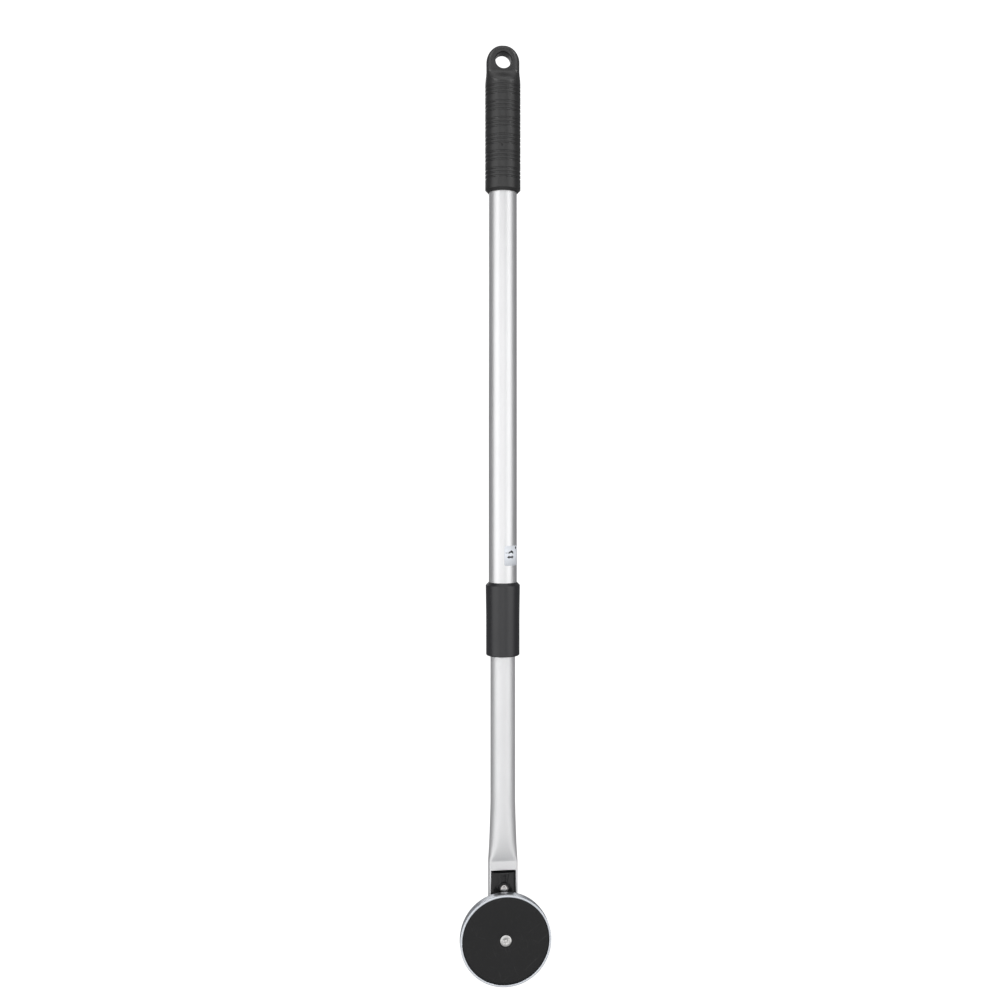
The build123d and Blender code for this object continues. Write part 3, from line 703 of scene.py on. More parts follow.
def grip_section(level, sizes, body_radius, top):
    """Half width, half depth and squareness of the grip at one level."""
    if level <= sizes.shoulder_bottom:
        return body_radius, body_radius, 2.0
    blend = smooth_step((level - sizes.shoulder_bottom) / (sizes.shoulder_top - sizes.shoulder_bottom))
    centre = -sizes.head_drop
    width = body_radius + (sizes.head_radius - body_radius) * blend
    depth = body_radius + (sizes.head_thickness / 2 - body_radius) * blend
    if level > centre:
        width = math.sqrt(max(sizes.head_radius ** 2 - (level - centre) ** 2, 0.0))
    to_top = top - level
    if to_top < sizes.head_edge:
        rise = sizes.head_edge - to_top
        depth -= sizes.head_edge - math.sqrt(max(sizes.head_edge ** 2 - rise ** 2, 0.0))
    return width, depth, 2.0 + 1.6 * blend


def grip_levels(sizes, bottom, top):
    """Levels of the grip's rings, close together over the grooves and the crown."""
    fine = MM * 0.21
    count = round((sizes.shoulder_bottom - bottom - sizes.rim_chamfer) / fine)
    start = bottom + sizes.rim_chamfer
    levels = [start + (sizes.shoulder_bottom - start) * index / count for index in range(count + 1)]
    shoulder = 16
    centre = -sizes.head_drop
    levels += [sizes.shoulder_bottom + (centre - sizes.shoulder_bottom) * (index + 1) / shoulder
               for index in range(shoulder)]
    crown = 22
    levels += [centre + (top - centre) * math.sin(math.pi / 2 * (index + 1) / crown) for index in range(crown)]
    return levels


def build_grip_shell(sizes, material):
    """Ringed skin of the grip from its rim to its crown, grooved by the node tree."""
    low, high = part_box("grip")
    body_radius = high.x
    steps = 112
    rings = [(sizes.bore_radius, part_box("upper_tube")[1].z, 2.0, sizes.bore_radius),
             (sizes.bore_radius, low.z + MM * 0.5, 2.0, sizes.bore_radius),
             (sizes.bore_radius + MM * 0.5, low.z, 2.0, sizes.bore_radius + MM * 0.5)]
    rim = soften([(sizes.bore_radius + MM, low.z), (body_radius - sizes.rim_chamfer, low.z, MM * 0.7),
                  (body_radius, low.z + sizes.rim_chamfer, MM * 0.7),
                  (body_radius, low.z + 2 * sizes.rim_chamfer)], 0)
    rings += [(radius, level, 2.0, radius) for radius, level in rim[1:-1]]
    start_level = rings[-1][1]
    for level in grip_levels(sizes, low.z, high.z):
        if level > start_level + MM * 0.1:
            width, depth, square = grip_section(level, sizes, body_radius, high.z)
            rings.append((width, level, square, depth))
    points = []
    for width, level, square, depth in rings:
        for step in range(steps):
            angle = FULL_TURN * step / steps
            cosine, sine = math.cos(angle), math.sin(angle)
            power = 2 / square
            points.append((math.copysign(abs(cosine) ** power * width, cosine),
                           math.copysign(abs(sine) ** power * depth, sine), level))
    faces = [(row * steps + step, row * steps + (step + 1) % steps, (row + 1) * steps + (step + 1) % steps,
              (row + 1) * steps + step) for row in range(len(rings) - 1) for step in range(steps)]
    faces.append(tuple(range(steps)))
    shell = make_object("grip_shell", points, faces)
    shell.data.materials.append(material)
    run_tree(shell, groove_tree(material), {
        "Lowest group": sizes.lowest_group, "Group pitch": sizes.group_pitch, "Groups": float(sizes.groups),
        "Groove pitch": sizes.groove_pitch, "Half width": sizes.groove_width / 2, "Depth": sizes.groove_depth})
    return shell


def cut_away(made, cutter):
    """Takes a cutter's shape out of a piece and discards the cutter."""
    cut = made.modifiers.new("cut", "BOOLEAN")
    cut.operation = "DIFFERENCE"
    cut.solver = "EXACT"
    cut.object = cutter
    settle(made)
    bpy.data.objects.remove(cutter)
    for polygon in made.data.polygons:
        polygon.use_smooth = True
    return made


def hang_hole_cutter(sizes):
    """Cutter for the hang hole, flared at both ends into rounded lips."""
    face = sizes.head_thickness / 2
    lip = sizes.hole_lip
    flare = [(sizes.hole_radius + lip * (1 - math.cos(math.pi / 2 * step / 8)),
              face - lip + lip * math.sin(math.pi / 2 * step / 8)) for step in range(9)]
    wide = flare[-1][0] + MM * 0.25
    half = [(sizes.hole_radius, 0.0)] + flare + [(wide, face + MM * 0.06), (wide, face * 2), (0.0, face * 2)]
    whole = [(radius, -reach) for radius, reach in reversed(half)] + half[1:]
    return spin("hole_cutter", whole, about_y(0, 0), steps=72)


class SWEEPER_OT_grip(bpy.types.Operator):
    """Build the grooved grip with its hang hole"""
    bl_idname = "sweeper.grip"
    bl_label = "Grip"

    def execute(self, context):
        sizes = context.scene.sweeper_grip
        material = moulded_rubber(context.scene.sweeper_colours)
        shell = build_grip_shell(sizes, material)
        cut_away(shell, hang_hole_cutter(sizes))
        vent_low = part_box("grip")[0].y
        vent = spin("vent_cutter", soften([(0, -vent_low - 0.9 * MM), (0.8 * MM, -vent_low - 0.9 * MM, 0.3 * MM),
                                           (1.2 * MM, -vent_low - 0.2 * MM), (1.25 * MM, -vent_low + MM),
                                           (0, -vent_low + MM)], 0), about_y(-2.9 * MM, -78 * MM), steps=32)
        cut_away(shell, vent)
        finished(shell, [material], "handle", "grip_rubber", "grip")
        return {"FINISHED"}


# ---- tubes ----------------------------------------------------------------------------------------------
class SWEEPER_OT_upper_tube(bpy.types.Operator):
    """Build the upper tube with its eased ends"""
    bl_idname = "sweeper.upper_tube"
    bl_label = "Upper tube"

    def execute(self, context):
        low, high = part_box("upper_tube")
        outer = high.x
        inner = outer - context.scene.sweeper_pole.tube_wall
        outline = soften([(outer, low.z), (outer, high.z), (inner, high.z), (inner, low.z)],
                         0.25 * MM, 3, closed=True)
        tube = spin("outer_tube", outline, about_z(), steps=128, closed=True)
        finished(tube, [anodised_aluminium(context.scene.sweeper_colours)], "handle", "anodised_aluminium",
                 "upper_tube")
        return {"FINISHED"}


def quarter_points(half_width, half_depth, corner, shares):
    """Points round a quarter of a rounded rectangle at given shares of its length."""
    wall = half_depth - corner
    bend = corner * math.pi / 2
    flat = half_width - corner
    whole = wall + bend + flat
    points = []
    for share in shares:
        run = share * whole
        if run <= wall:
            points.append((half_width, run))
        elif run <= wall + bend:
            angle = (run - wall) / corner
            points.append((flat + corner * math.cos(angle), wall + corner * math.sin(angle)))
        else:
            points.append((whole - run, half_depth))
    return points


def press_rings(sizes, radius, width):
    """Shares of the girth and the section sizes along the lower tube's pressed end."""
    girth = FULL_TURN * radius
    corner = sizes.press_corner
    depth = (girth + CORNER_SAVING * corner) / 2 - width
    wall = depth / 2 - corner
    bend = corner * math.pi / 2
    flat = width / 2 - corner
    whole = wall + bend + flat
    marks = [wall * index / 4 for index in range(4)]
    marks += [wall + bend * index / 6 for index in range(6)]
    marks += [wall + bend + flat * index / 12 for index in range(13)]
    shares = [mark / whole for mark in marks]
    return shares, depth


def ring_points(half_width, half_depth, corner, shares):
    """A whole ring from its quarter, counter-clockwise from the right-hand wall."""
    quarter = quarter_points(half_width, half_depth, corner, shares)
    ring = quarter + [(-x, y) for x, y in quarter[-2::-1]]
    return ring + [(x, -y) for x, y in ring[-2:0:-1]]


def build_inner_tube(sizes):
    """Lower tube: round, then pressed to a box section and cut open into two ears."""
    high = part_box("lower_tube")[1]
    radius = high.y
    width = 2 * high.x
    shares, depth = press_rings(sizes, radius, width)
    crease = PIVOT.z + sizes.pivot_drop
    press_start = crease + sizes.press_length
    rows = []
    for level in (high.z, high.z - MM, press_start + 4 * MM):
        rows.append((ring_points(radius, radius, radius, shares), level))
    bends = 40
    for index in range(bends + 1):
        share = index / bends
        half_width = radius + (width / 2 - radius) * share ** 1.2
        corner = radius - (radius - sizes.press_corner) * share ** 4
        half_depth = (FULL_TURN * radius + CORNER_SAVING * corner) / 4 - half_width
        corner = min(corner, half_width, half_depth)
        rows.append((ring_points(half_width, half_depth, corner, shares), press_start - sizes.press_length * share))
    section = rows[-1][0]
    front_edge = crease - sizes.front_cut
    back_edge = crease - sizes.back_cut
    for level in (crease - 0.35 * MM, crease - 3 * MM, front_edge + 0.4 * MM, front_edge):
        rows.append((section, level))
    front_row = len(rows) - 1
    between = 6
    rows += [(section, front_edge + (back_edge - front_edge) * (index + 1) / between) for index in range(between)]
    back_row = len(rows) - 1
    ear_rows = 14
    for index in range(1, ear_rows + 1):
        share = index / ear_rows
        levels = [back_edge + share * (PIVOT.z - math.sqrt(max((depth / 2) ** 2 - y ** 2, 0)) - back_edge)
                  for x, y in section]
        rows.append((section, levels))
    count = len(section)
    points = []
    for ring, level in rows:
        points += [(x, y, level[index] if isinstance(level, list) else level)
                   for index, (x, y) in enumerate(ring)]
    flat_edge = width / 2 - sizes.press_corner + 0.001 * MM
    faces = []
    for row in range(len(rows) - 1):
        for index in range(count):
            ahead = (index + 1) % count
            if row >= front_row and max(abs(section[index][0]), abs(section[ahead][0])) <= flat_edge:
                in_front = section[index][1] < 0
                if in_front or row >= back_row:
                    continue
            faces.append((row * count + index, row * count + ahead, (row + 1) * count + ahead,
                          (row + 1) * count + index))
    used = sorted({index for face in faces for index in face})
    order = {old: new for new, old in enumerate(used)}
    tube = make_object("inner_tube", [points[index] for index in used],
                       [tuple(order[index] for index in face) for face in faces])
    wall = tube.modifiers.new("wall", "SOLIDIFY")
    wall.thickness = sizes.tube_wall
    wall.offset = -1
    wall.use_even_offset = True
    settle(tube)
    return add_bevel(tube, 0.22 * MM, 2, 50)


class SWEEPER_OT_lower_tube(bpy.types.Operator):
    """Build the lower tube with its pressed, cut-open end"""
    bl_idname = "sweeper.lower_tube"
    bl_label = "Lower tube"

    def execute(self, context):
        tube = build_inner_tube(context.scene.sweeper_pole)
        # The lower tube uses the tube aluminium darkened by 0.96 as painted shade, and a little rougher.
        material = anodised_aluminium(context.scene.sweeper_colours, "shaded_aluminium", shade=0.96, matt=0.12)
        finished(tube, [material], "lower_pole", "anodised_aluminium", "lower_tube")
        return {"FINISHED"}


# ---- twist lock -----------------------------------------------------------------------------------------
class SWEEPER_OT_twist_lock(bpy.types.Operator):
    """Build the tapered collar and its end ring"""
    bl_idname = "sweeper.twist_lock"
    bl_label = "Twist lock"

    def execute(self, context):
        sizes = context.scene.sweeper_pole
        plastic = grained_plastic(context.scene.sweeper_colours)
        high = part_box("lock_collar")[1]
        top, bottom = high.z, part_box("collar_end_ring")[0].z
        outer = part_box("upper_tube")[1].x
        mouth = outer + 0.3 * MM
        waist = top - sizes.collar_waist
        outline = soften([
            (mouth, top, 0.4 * MM), (high.x - sizes.collar_chamfer, top, 0.5 * MM),
            (high.x, top - sizes.collar_chamfer, 0.9 * MM), (sizes.collar_waist_radius, waist, 20 * MM),
            (sizes.collar_waist_radius, bottom, sizes.collar_foot), (mouth, bottom, 0.2 * MM),
            (mouth, top - 6 * MM, 0.0)], 0, 7, closed=True)
        collar = spin("twist_collar", outline, about_z(), steps=128, closed=True)
        finished(collar, [plastic], "collar", "lock_plastic", "lock_collar")
        ring_low, ring_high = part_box("collar_end_ring")
        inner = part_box("lower_tube")[1].y + 0.3 * MM
        ring = spin("collar_mouth_ring", soften([
            (inner, ring_low.z + 0.1 * MM), (ring_high.x, ring_low.z + 0.1 * MM), (ring_high.x, ring_high.z),
            (inner, ring_high.z)], 0.3 * MM, 3, closed=True), about_z(), steps=96, closed=True)
        finished(ring, [plastic], "collar", "lock_plastic", "collar_end_ring")
        return {"FINISHED"}


def wrapped_patch(name, outline, radius, thickness):
    """Thin closed patch laid round the upper tube in narrow upright strips; outline is in (arc length, level)."""
    work = bmesh.new()
    rings = [[work.verts.new((run, lift, level)) for run, level in outline] for lift in (0.0, thickness)]
    count = len(outline)
    work.faces.new(rings[0])
    work.faces.new(rings[1])
    for index in range(count):
        ahead = (index + 1) % count
        work.faces.new((rings[0][index], rings[0][ahead], rings[1][ahead], rings[1][index]))
    first = min(run for run, level in outline)
    last = max(run for run, level in outline)
    strips = max(2, round((last - first) / (0.4 * MM)))
    slice_mesh(work, 0, [first + (last - first) * index / strips for index in range(1, strips)])
    for vert in work.verts:
        angle = vert.co.x / radius - math.pi / 2
        reach = radius + vert.co.y
        vert.co.x, vert.co.y = reach * math.cos(angle), reach * math.sin(angle)
    return link_object(name, work, bpy.data.meshes.new(name))


def wrapped_strip(name, start, end, low, high, radius, thickness, corner):
    """Curved label blank with rounded corners, made of narrow upright strips."""
    strips = 40
    columns = []
    for index in range(strips + 1):
        run = start + (end - start) * index / strips
        from_end = min(run - start, end - run)
        dip = 0.0
        if from_end < corner:
            dip = corner - math.sqrt(max(corner ** 2 - (corner - from_end) ** 2, 0.0))
        columns.append((run, low + dip, high - dip))
    points, faces = [], []
    for run, bottom, top in columns:
        angle = run / radius - math.pi / 2
        for lift, level in ((0, bottom), (0, top), (thickness, top), (thickness, bottom)):
            points.append(((radius + lift) * math.cos(angle), (radius + lift) * math.sin(angle), level))
    for index in range(strips):
        here, there = 4 * index, 4 * index + 4
        for side in range(4):
            ahead = (side + 1) % 4
            faces.append((here + side, here + ahead, there + ahead, there + side))
    faces.append((0, 1, 2, 3))
    faces.append(tuple(4 * strips + side for side in (3, 2, 1, 0)))
    return make_object(name, points, faces)


def arrow_outline(start, end, level, height):
    """Straight arrow along the tube's girth with a head at both ends."""
    half = height / 2
    shaft = height * 0.24
    head = height * 0.72
    return [(start, level), (start + head, level - half), (start + head, level - shaft),
            (end - head, level - shaft), (end - head, level - half), (end, level),
            (end - head, level + half), (end - head, level + shaft),
            (start + head, level + shaft), (start + head, level + half)]


class SWEEPER_OT_label(bpy.types.Operator):
    """Build the turn label and its plain arrow marks"""
    bl_idname = "sweeper.label"
    bl_label = "Turn label"

    def execute(self, context):
        low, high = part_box("lock_label")
        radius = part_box("upper_tube")[1].x
        blank = wrapped_strip("turn_label", 0.0, radius * LABEL_SWEEP, low.z, high.z, radius, FILM_THICKNESS,
                              1.2 * MM)
        finished(blank, [label_film(context.scene.sweeper_colours)], "handle", "label_film", "lock_label")
        ink = printing_ink()
        marks = {                       # in millimetres round from the label's edge and down from its top
            "turn_arrow": arrow_outline(2.4, 9.4, -9.9, 3.0),
            "lock_caret": [(3.8, -6.9), (6.6, -5.9), (9.0, -7.3), (9.0, -5.3), (6.8, -3.9), (3.8, -5.6)],
            "lock_line": [(0.9, -6.3), (3.2, -6.3), (3.2, -5.9), (0.9, -5.9)],
            "open_dot": [(12.6 + 1.1 * math.cos(FULL_TURN * step / 20), -1.9 + 1.1 * math.sin(FULL_TURN * step / 20))
                         for step in range(20)],
        }
        for name, outline in marks.items():
            placed = [(run * MM, high.z + level * MM) for run, level in outline]
            mark = wrapped_patch(name, placed, radius + FILM_THICKNESS, INK_THICKNESS)
            finished(mark, [ink], "handle", "label_film")
        return {"FINISHED"}


# ---- hinge ----------------------------------------------------------------------------------------------
def block_outline(sizes, low, high, rear):
    """Side outline of the hinge block in (y, level), from the top of its back round to the front."""
    foot_front, foot_rear = low.y, low.y + 5 * MM
    pivot = PIVOT.z
    boss = sizes.boss_radius
    start = math.acos(rear / boss)
    arc = [(boss * math.cos(start + (-math.pi / 2 - start) * step / 26),
            pivot + boss * math.sin(start + (-math.pi / 2 - start) * step / 26)) for step in range(27)]
    return ([(TONGUE_FRONT, high.z), (rear, high.z)] + arc
            + [(foot_rear, pivot - boss - 5 * MM), (foot_rear, low.z), (foot_front, low.z),
               (foot_front, pivot + 7 * MM), (TONGUE_FRONT, TONGUE_FLOOR)])


def block_front_shift(x, level, sizes, half, top, bolt_level):
    """How far a point of the tongue's front face moves back from the middle plane of the bow."""
    bow = sizes.block_bow * (x / half) ** 2
    down = min(max((top - level) / (top - bolt_level), 0.0), 1.0)
    keel_half = sizes.keel_top + (sizes.keel_foot - sizes.keel_top) * down
    keel = smooth_step((abs(x) - keel_half + 0.7 * MM) / (1.4 * MM)) * sizes.keel_height
    away = math.hypot(x, level - bolt_level)
    recess = (1 - smooth_step((away - sizes.recess_radius + 0.35 * MM) / (0.7 * MM))) * sizes.recess_depth
    return max(bow * (1 - min(1.0, recess / sizes.recess_depth)) + keel * (1 - recess / sizes.recess_depth), recess)


def build_hinge_block(sizes):
    """Moulded block: bowed tongue with a raised middle, boss on the pivot and a round-ended foot."""
    low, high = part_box("hinge_block")
    half = high.x
    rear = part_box("stop_plate")[1].y
    outline = block_outline(sizes, low, high, rear)
    count = len(outline)
    points = [(side * half, y, level) for side in (-1, 1) for y, level in outline]
    faces = [tuple(range(count)), tuple(range(2 * count - 1, count - 1, -1))]
    faces += [(index, count + index, count + (index + 1) % count, (index + 1) % count) for index in range(count)]
    block = make_object("hinge_body", points, faces)
    bolt_level = (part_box("dome_nut")[0].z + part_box("dome_nut")[1].z) / 2
    foot_centre = low.z + half
    work = bmesh.new()
    work.from_mesh(block.data)
    columns = 44
    slice_mesh(work, 0, [half * (2 * index / columns - 1) for index in range(1, columns)])
    rows = 40
    slice_mesh(work, 2, [TONGUE_FLOOR + (high.z - TONGUE_FLOOR) * index / rows for index in range(1, rows)])
    turns = 18
    slice_mesh(work, 2, [foot_centre - half * math.sin(math.pi / 2 * index / turns) for index in range(turns)])
    for vert in work.verts:
        x, y, level = vert.co
        if y < TONGUE_FRONT + MM * 0.01 and level > TONGUE_FLOOR - MM * 0.01:
            shift = block_front_shift(x, level, sizes, half, high.z, bolt_level)
            vert.co.y += shift * smooth_step((level - TONGUE_FLOOR) / (1.5 * MM))
        if level < foot_centre:
            vert.co.x *= math.sqrt(max(1 - ((foot_centre - level) / half) ** 2, 0.0))
    bmesh.ops.remove_doubles(work, verts=work.verts, dist=MM * 0.002)
    bmesh.ops.recalc_face_normals(work, faces=work.faces)
    for face in work.faces:
        face.smooth = True
    work.to_mesh(block.data)
    work.free()
    return add_bevel(block, 0.7 * MM, 3, 42)


def make_plate(name, low, high):
    """Square-cornered plate between two corners."""
    points = [(x, y, z) for x in (low.x, high.x) for y in (low.y, high.y) for z in (low.z, high.z)]
    return make_object(name, points, [(0, 1, 3, 2), (4, 6, 7, 5), (0, 4, 5, 1), (2, 3, 7, 6), (0, 2, 6, 4),
                                      (1, 5, 7, 3)])


class SWEEPER_OT_hinge_block(bpy.types.Operator):
    """Build the moulded hinge block and the steel plate behind its tongue"""
    bl_idname = "sweeper.hinge_block"
    bl_label = "Hinge block"

    def execute(self, context):
        sizes = context.scene.sweeper_head
        colours = context.scene.sweeper_colours
        block = build_hinge_block(sizes)
        plastic = gloss_plastic(colours)
        steel = plated_steel(colours)
        low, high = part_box("stop_plate")
        cut_away(block, make_plate("plate_pocket", low, high + Vector((0, MM, 0))))
        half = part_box("hinge_block")[1].x
        reach = [(0.0, -1.2 * half), (2.55 * MM, -1.2 * half), (2.55 * MM, 1.2 * half), (0.0, 1.2 * half)]
        cut_away(block, spin("pivot_bore", reach, about_x(0, PIVOT.z), steps=48))
        plate = add_bevel(make_plate("tongue_plate", low, high), 0.2 * MM, 2)
        bolt_low, bolt_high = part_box("dome_bolt")
        head, rear = bolt_high.x, -bolt_high.y
        sink = [(0.0, rear - MM), (head + 0.1 * MM, rear - MM), (head + 0.1 * MM, rear), (2.1 * MM, rear + 1.8 * MM),
                (2.1 * MM, rear + 3 * MM), (0.0, rear + 3 * MM)]
        cut_away(plate, spin("countersink", sink, about_y(0, (bolt_low.z + bolt_high.z) / 2), steps=48))
        finished(plate, [steel], "magnet_head", "plain_steel", "stop_plate")
        finished(block, [plastic], "magnet_head", "gloss_black_plastic", "hinge_block")
        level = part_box("hinge_block")[1].z - 1.5 * MM
        nib = spin("mould_nib", [(0.75 * MM, 9.6 * MM), (0.75 * MM, 9.95 * MM), (0.6 * MM, 10.2 * MM),
                                 (0.3 * MM, 10.35 * MM), (0.0, 10.4 * MM)], about_y(0, level), steps=24)
        finished(nib, [plastic], "magnet_head", "gloss_black_plastic")
        return {"FINISHED"}


class SWEEPER_OT_dome_nut(bpy.types.Operator):
    """Build the polished domed nut and its washer on the tongue"""
    bl_idname = "sweeper.dome_nut"
    bl_label = "Domed nut"

    def execute(self, context):
        colours = context.scene.sweeper_colours
        low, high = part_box("dome_nut")
        level = (low.z + high.z) / 2
        radius = high.x
        seat, tip = -high.y, -low.y
        rise = tip - seat - MM
        dome = [(radius * math.cos(math.pi / 2 * step / 14), seat + MM + rise * math.sin(math.pi / 2 * step / 14))
                for step in range(15)]
        outline = [(0.0, seat), (radius * 0.93, seat), (radius * 0.99, seat + 0.12 * MM), (radius, seat + 0.3 * MM)]
        nut = spin("domed_nut", outline + dome, about_y(0, level), steps=64)
        finished(nut, [polished_chrome(colours)], "magnet_head", "polished_chrome", "dome_nut")
        washer_low, washer_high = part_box("dome_washer")
        ring = soften([(2.05 * MM, -washer_high.y), (washer_high.x, -washer_high.y),
                       (washer_high.x, -washer_low.y), (2.05 * MM, -washer_low.y)], 0.15 * MM, 3, closed=True)
        washer = spin("domed_nut_washer", ring, about_y(0, level), steps=64, closed=True)
        # The washer's near-black finish is painted shade round the domed nut.
        finished(washer, [painted_shade_steel()], "magnet_head", "plain_steel", "dome_washer")
        return {"FINISHED"}


class SWEEPER_OT_pivot(bpy.types.Operator):
    """Build the pivot bolt, its lock nut and the washers on both sides of the ears"""
    bl_idname = "sweeper.pivot"
    bl_label = "Pivot"

    def execute(self, context):
        colours = context.scene.sweeper_colours
        steel = bpy.data.materials["plated_steel"]
        low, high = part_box("pivot_bolt")
        nut_low, nut_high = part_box("pivot_nut")
        head_radius = high.z - PIVOT.z
        head_seat = low.x + 2.8 * MM
        tip = high.x

        def bolt_outline(angle):
            socket = hex_radius(3.2 * MM, angle)
            crown = [(head_radius * math.cos(math.pi / 2 * step / 10) * 0.55 + head_radius * 0.45,
                      head_seat - 1.1 * MM - 1.7 * MM * math.sin(math.pi / 2 * step / 10)) for step in range(11)]
            return ([(0.0, low.x + 1.4 * MM), (socket, low.x + 1.4 * MM), (socket, low.x + 0.1 * MM),
                     (socket + 0.15 * MM, low.x)] + crown[::-1]
                    + [(head_radius, head_seat - 0.15 * MM), (head_radius - 0.15 * MM, head_seat),
                       (BOLT_SHANK, head_seat), (BOLT_SHANK, tip - 0.3 * MM),
                       (BOLT_SHANK - 0.3 * MM, tip), (0.0, tip)])

        bolt = spin("pivot_button_bolt", bolt_outline, about_x(0, PIVOT.z), steps=72)
        finished(bolt, [steel], "lower_pole", "plain_steel", "pivot_bolt")
        across = nut_high.z - nut_low.z
        nut = spin("pivot_lock_nut", hex_nut_outline(across, BOLT_SHANK, nut_low.x, nut_high.x, 0.25 * MM),
                   about_x(0, PIVOT.z), steps=72, closed=True)
        finished(nut, [steel], "lower_pole", "plain_steel", "pivot_nut")
        self.washers(steel, "outer_washers", "ear_washers", "plain_steel")
        self.washers(natural_nylon(colours), "inner_washers", "bearing_washers", "glide_plastic")
        return {"FINISHED"}

    def washers(self, material, node, name, slot):
        """A pair of washers, one on each ear, repeated by the row tree."""
        low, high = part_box(node)
        radius = high.z - PIVOT.z
        thickness = {"outer_washers": 0.8 * MM, "inner_washers": 0.6 * MM}[node]
        bore = 2.52 * MM
        outline = soften([(bore, low.x), (radius, low.x), (radius, low.x + thickness), (bore, low.x + thickness)],
                         0.12 * MM, 3, closed=True)
        washer = spin(name, outline, about_x(0, PIVOT.z), steps=56, closed=True)
        run_tree(washer, row_tree(material), {"Count": 2, "Step": (high.x - low.x - thickness, 0.0, 0.0)})
        finished(washer, [material], "lower_pole", slot, node)


# ---- magnet ---------------------------------------------------------------------------------------------
class SWEEPER_OT_magnet(bpy.types.Operator):
    """Build the turned cup, the black face and the screw, nut and rivets that hold them"""
    bl_idname = "sweeper.magnet"
    bl_label = "Magnet"

    def execute(self, context):
        sizes = context.scene.sweeper_head
        colours = context.scene.sweeper_colours
        low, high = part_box("magnet_cup")
        centre = (low.z + high.z) / 2
        radius = high.x
        back, front = -high.y, -low.y
        steel = bpy.data.materials["plated_steel"]
        self.cup(sizes, colours, centre, radius, back, front)
        self.face(colours, centre)
        self.screw(steel, centre)
        self.foot_fasteners(steel, centre)
        return {"FINISHED"}

    def cup(self, sizes, colours, centre, radius, back, front):
        """Cup with a rolled back edge, a shallow turned step and a bright lip."""
        inner = radius - sizes.cup_wall
        step_depth = 0.35 * MM
        outline = soften([
            (2.6 * MM, back), (radius - 9 * MM, back, 0.4 * MM), (radius - 8.6 * MM, back + 0.4 * MM, 0.3 * MM),
            (radius - 7.6 * MM, back + 0.4 * MM, 0.3 * MM), (radius - 7.2 * MM, back, 0.4 * MM),
            (radius - step_depth, back, 1.3 * MM), (radius - step_depth, back + 3.4 * MM, 0.2 * MM),
            (radius, back + 3.7 * MM, 0.2 * MM), (radius, front - 1.5 * MM, 0.15 * MM),
            (radius - 0.18 * MM, front - 1.3 * MM, 0.1 * MM), (radius - 0.18 * MM, front - 1.05 * MM, 0.1 * MM),
            (radius, front - 0.85 * MM, 0.15 * MM), (radius, front, sizes.lip_edge),
            (inner, front, sizes.lip_edge), (inner, back + sizes.cup_base, 0.3 * MM),
            (2.6 * MM, back + sizes.cup_base)], 0, 5, closed=True)
        cup = spin("turned_cup", outline, about_y(0, centre), steps=180, closed=True)
        finished(cup, [turned_zinc(colours, (0, 0, centre))], "magnet_head", "zinc_plate", "magnet_cup")

    def face(self, colours, centre):
        """Black face plate with a dished middle round the screw."""
        low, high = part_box("face_plate")
        radius = high.x
        outer, inner = -low.y, -high.y
        outline = soften([
            (5.02 * MM, inner), (5.02 * MM, outer), (5.6 * MM, outer, 0.2 * MM),
            (6.0 * MM, outer - 0.25 * MM, 0.2 * MM),
            (6.8 * MM, outer - 0.25 * MM, 0.2 * MM), (7.2 * MM, outer, 0.2 * MM),
            (radius - 1.6 * MM, outer, 0.4 * MM), (radius, outer - 0.35 * MM, 0.2 * MM), (radius, inner)], 0, 4,
            closed=True)
        plate = spin("magnet_face", outline, about_y(0, centre), steps=160, closed=True)
        finished(plate, [scuffed_face(colours, (0, 0, centre))], "magnet_head", "black_face", "face_plate")

    def screw(self, steel, centre):
        """Countersunk socket screw through the magnet's middle."""
        low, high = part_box("centre_screw")
        head, tip = -low.y, -high.y
        radius = high.x

        def outline(angle):
            socket = hex_radius(3.4 * MM, angle)
            return [(0.0, head - 1.5 * MM), (socket, head - 1.4 * MM), (socket, head - 0.12 * MM),
                    (socket + 0.15 * MM, head), (radius - 0.15 * MM, head), (radius, head - 0.15 * MM),
                    (BOLT_SHANK, head - 2.8 * MM), (BOLT_SHANK, tip + 0.3 * MM),
                    (BOLT_SHANK - 0.3 * MM, tip), (0.0, tip)]

        screw = spin("centre_socket_screw", outline, about_y(0, centre), steps=72)
        finished(screw, [steel], "magnet_head", "plain_steel", "centre_screw")

    def foot_fasteners(self, steel, centre):
        """Nut and washer on the centre screw and the two rivets of the foot."""
        low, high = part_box("centre_nut")
        nut = spin("centre_hex_nut", hex_nut_outline(high.z - low.z, BOLT_SHANK, -high.y, -low.y, 0.25 * MM),
                   about_y(0, centre), steps=72, closed=True)
        finished(nut, [steel], "magnet_head", "plain_steel", "centre_nut")
        low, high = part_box("centre_washer")
        ring = soften([(2.55 * MM, -high.y), (high.x, -high.y), (high.x, -low.y), (2.55 * MM, -low.y)],
                      0.15 * MM, 3, closed=True)
        washer = spin("centre_plain_washer", ring, about_y(0, centre), steps=56, closed=True)
        finished(washer, [steel], "magnet_head", "plain_steel", "centre_washer")
        low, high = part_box("foot_rivets")
        level = (low.z + high.z) / 2
        head_radius = (high.z - low.z) / 2
        left = low.x + head_radius
        shank = 1.6 * MM
        dome = [(head_radius * math.cos(math.pi / 2 * step / 8),
                 -high.y + 1.2 * MM - 1.2 * MM * math.sin(math.pi / 2 * step / 8)) for step in range(9)]
        outline = dome[::-1] + [(shank, -high.y + 1.2 * MM), (shank, -low.y), (0.0, -low.y)]
        rivet = spin("foot_dome_rivets", outline, about_y(left, level), steps=40)
        run_tree(rivet, row_tree(steel), {"Count": 2, "Step": (high.x - low.x - 2 * head_radius, 0.0, 0.0)})
        finished(rivet, [steel], "magnet_head", "plain_steel", "foot_rivets")


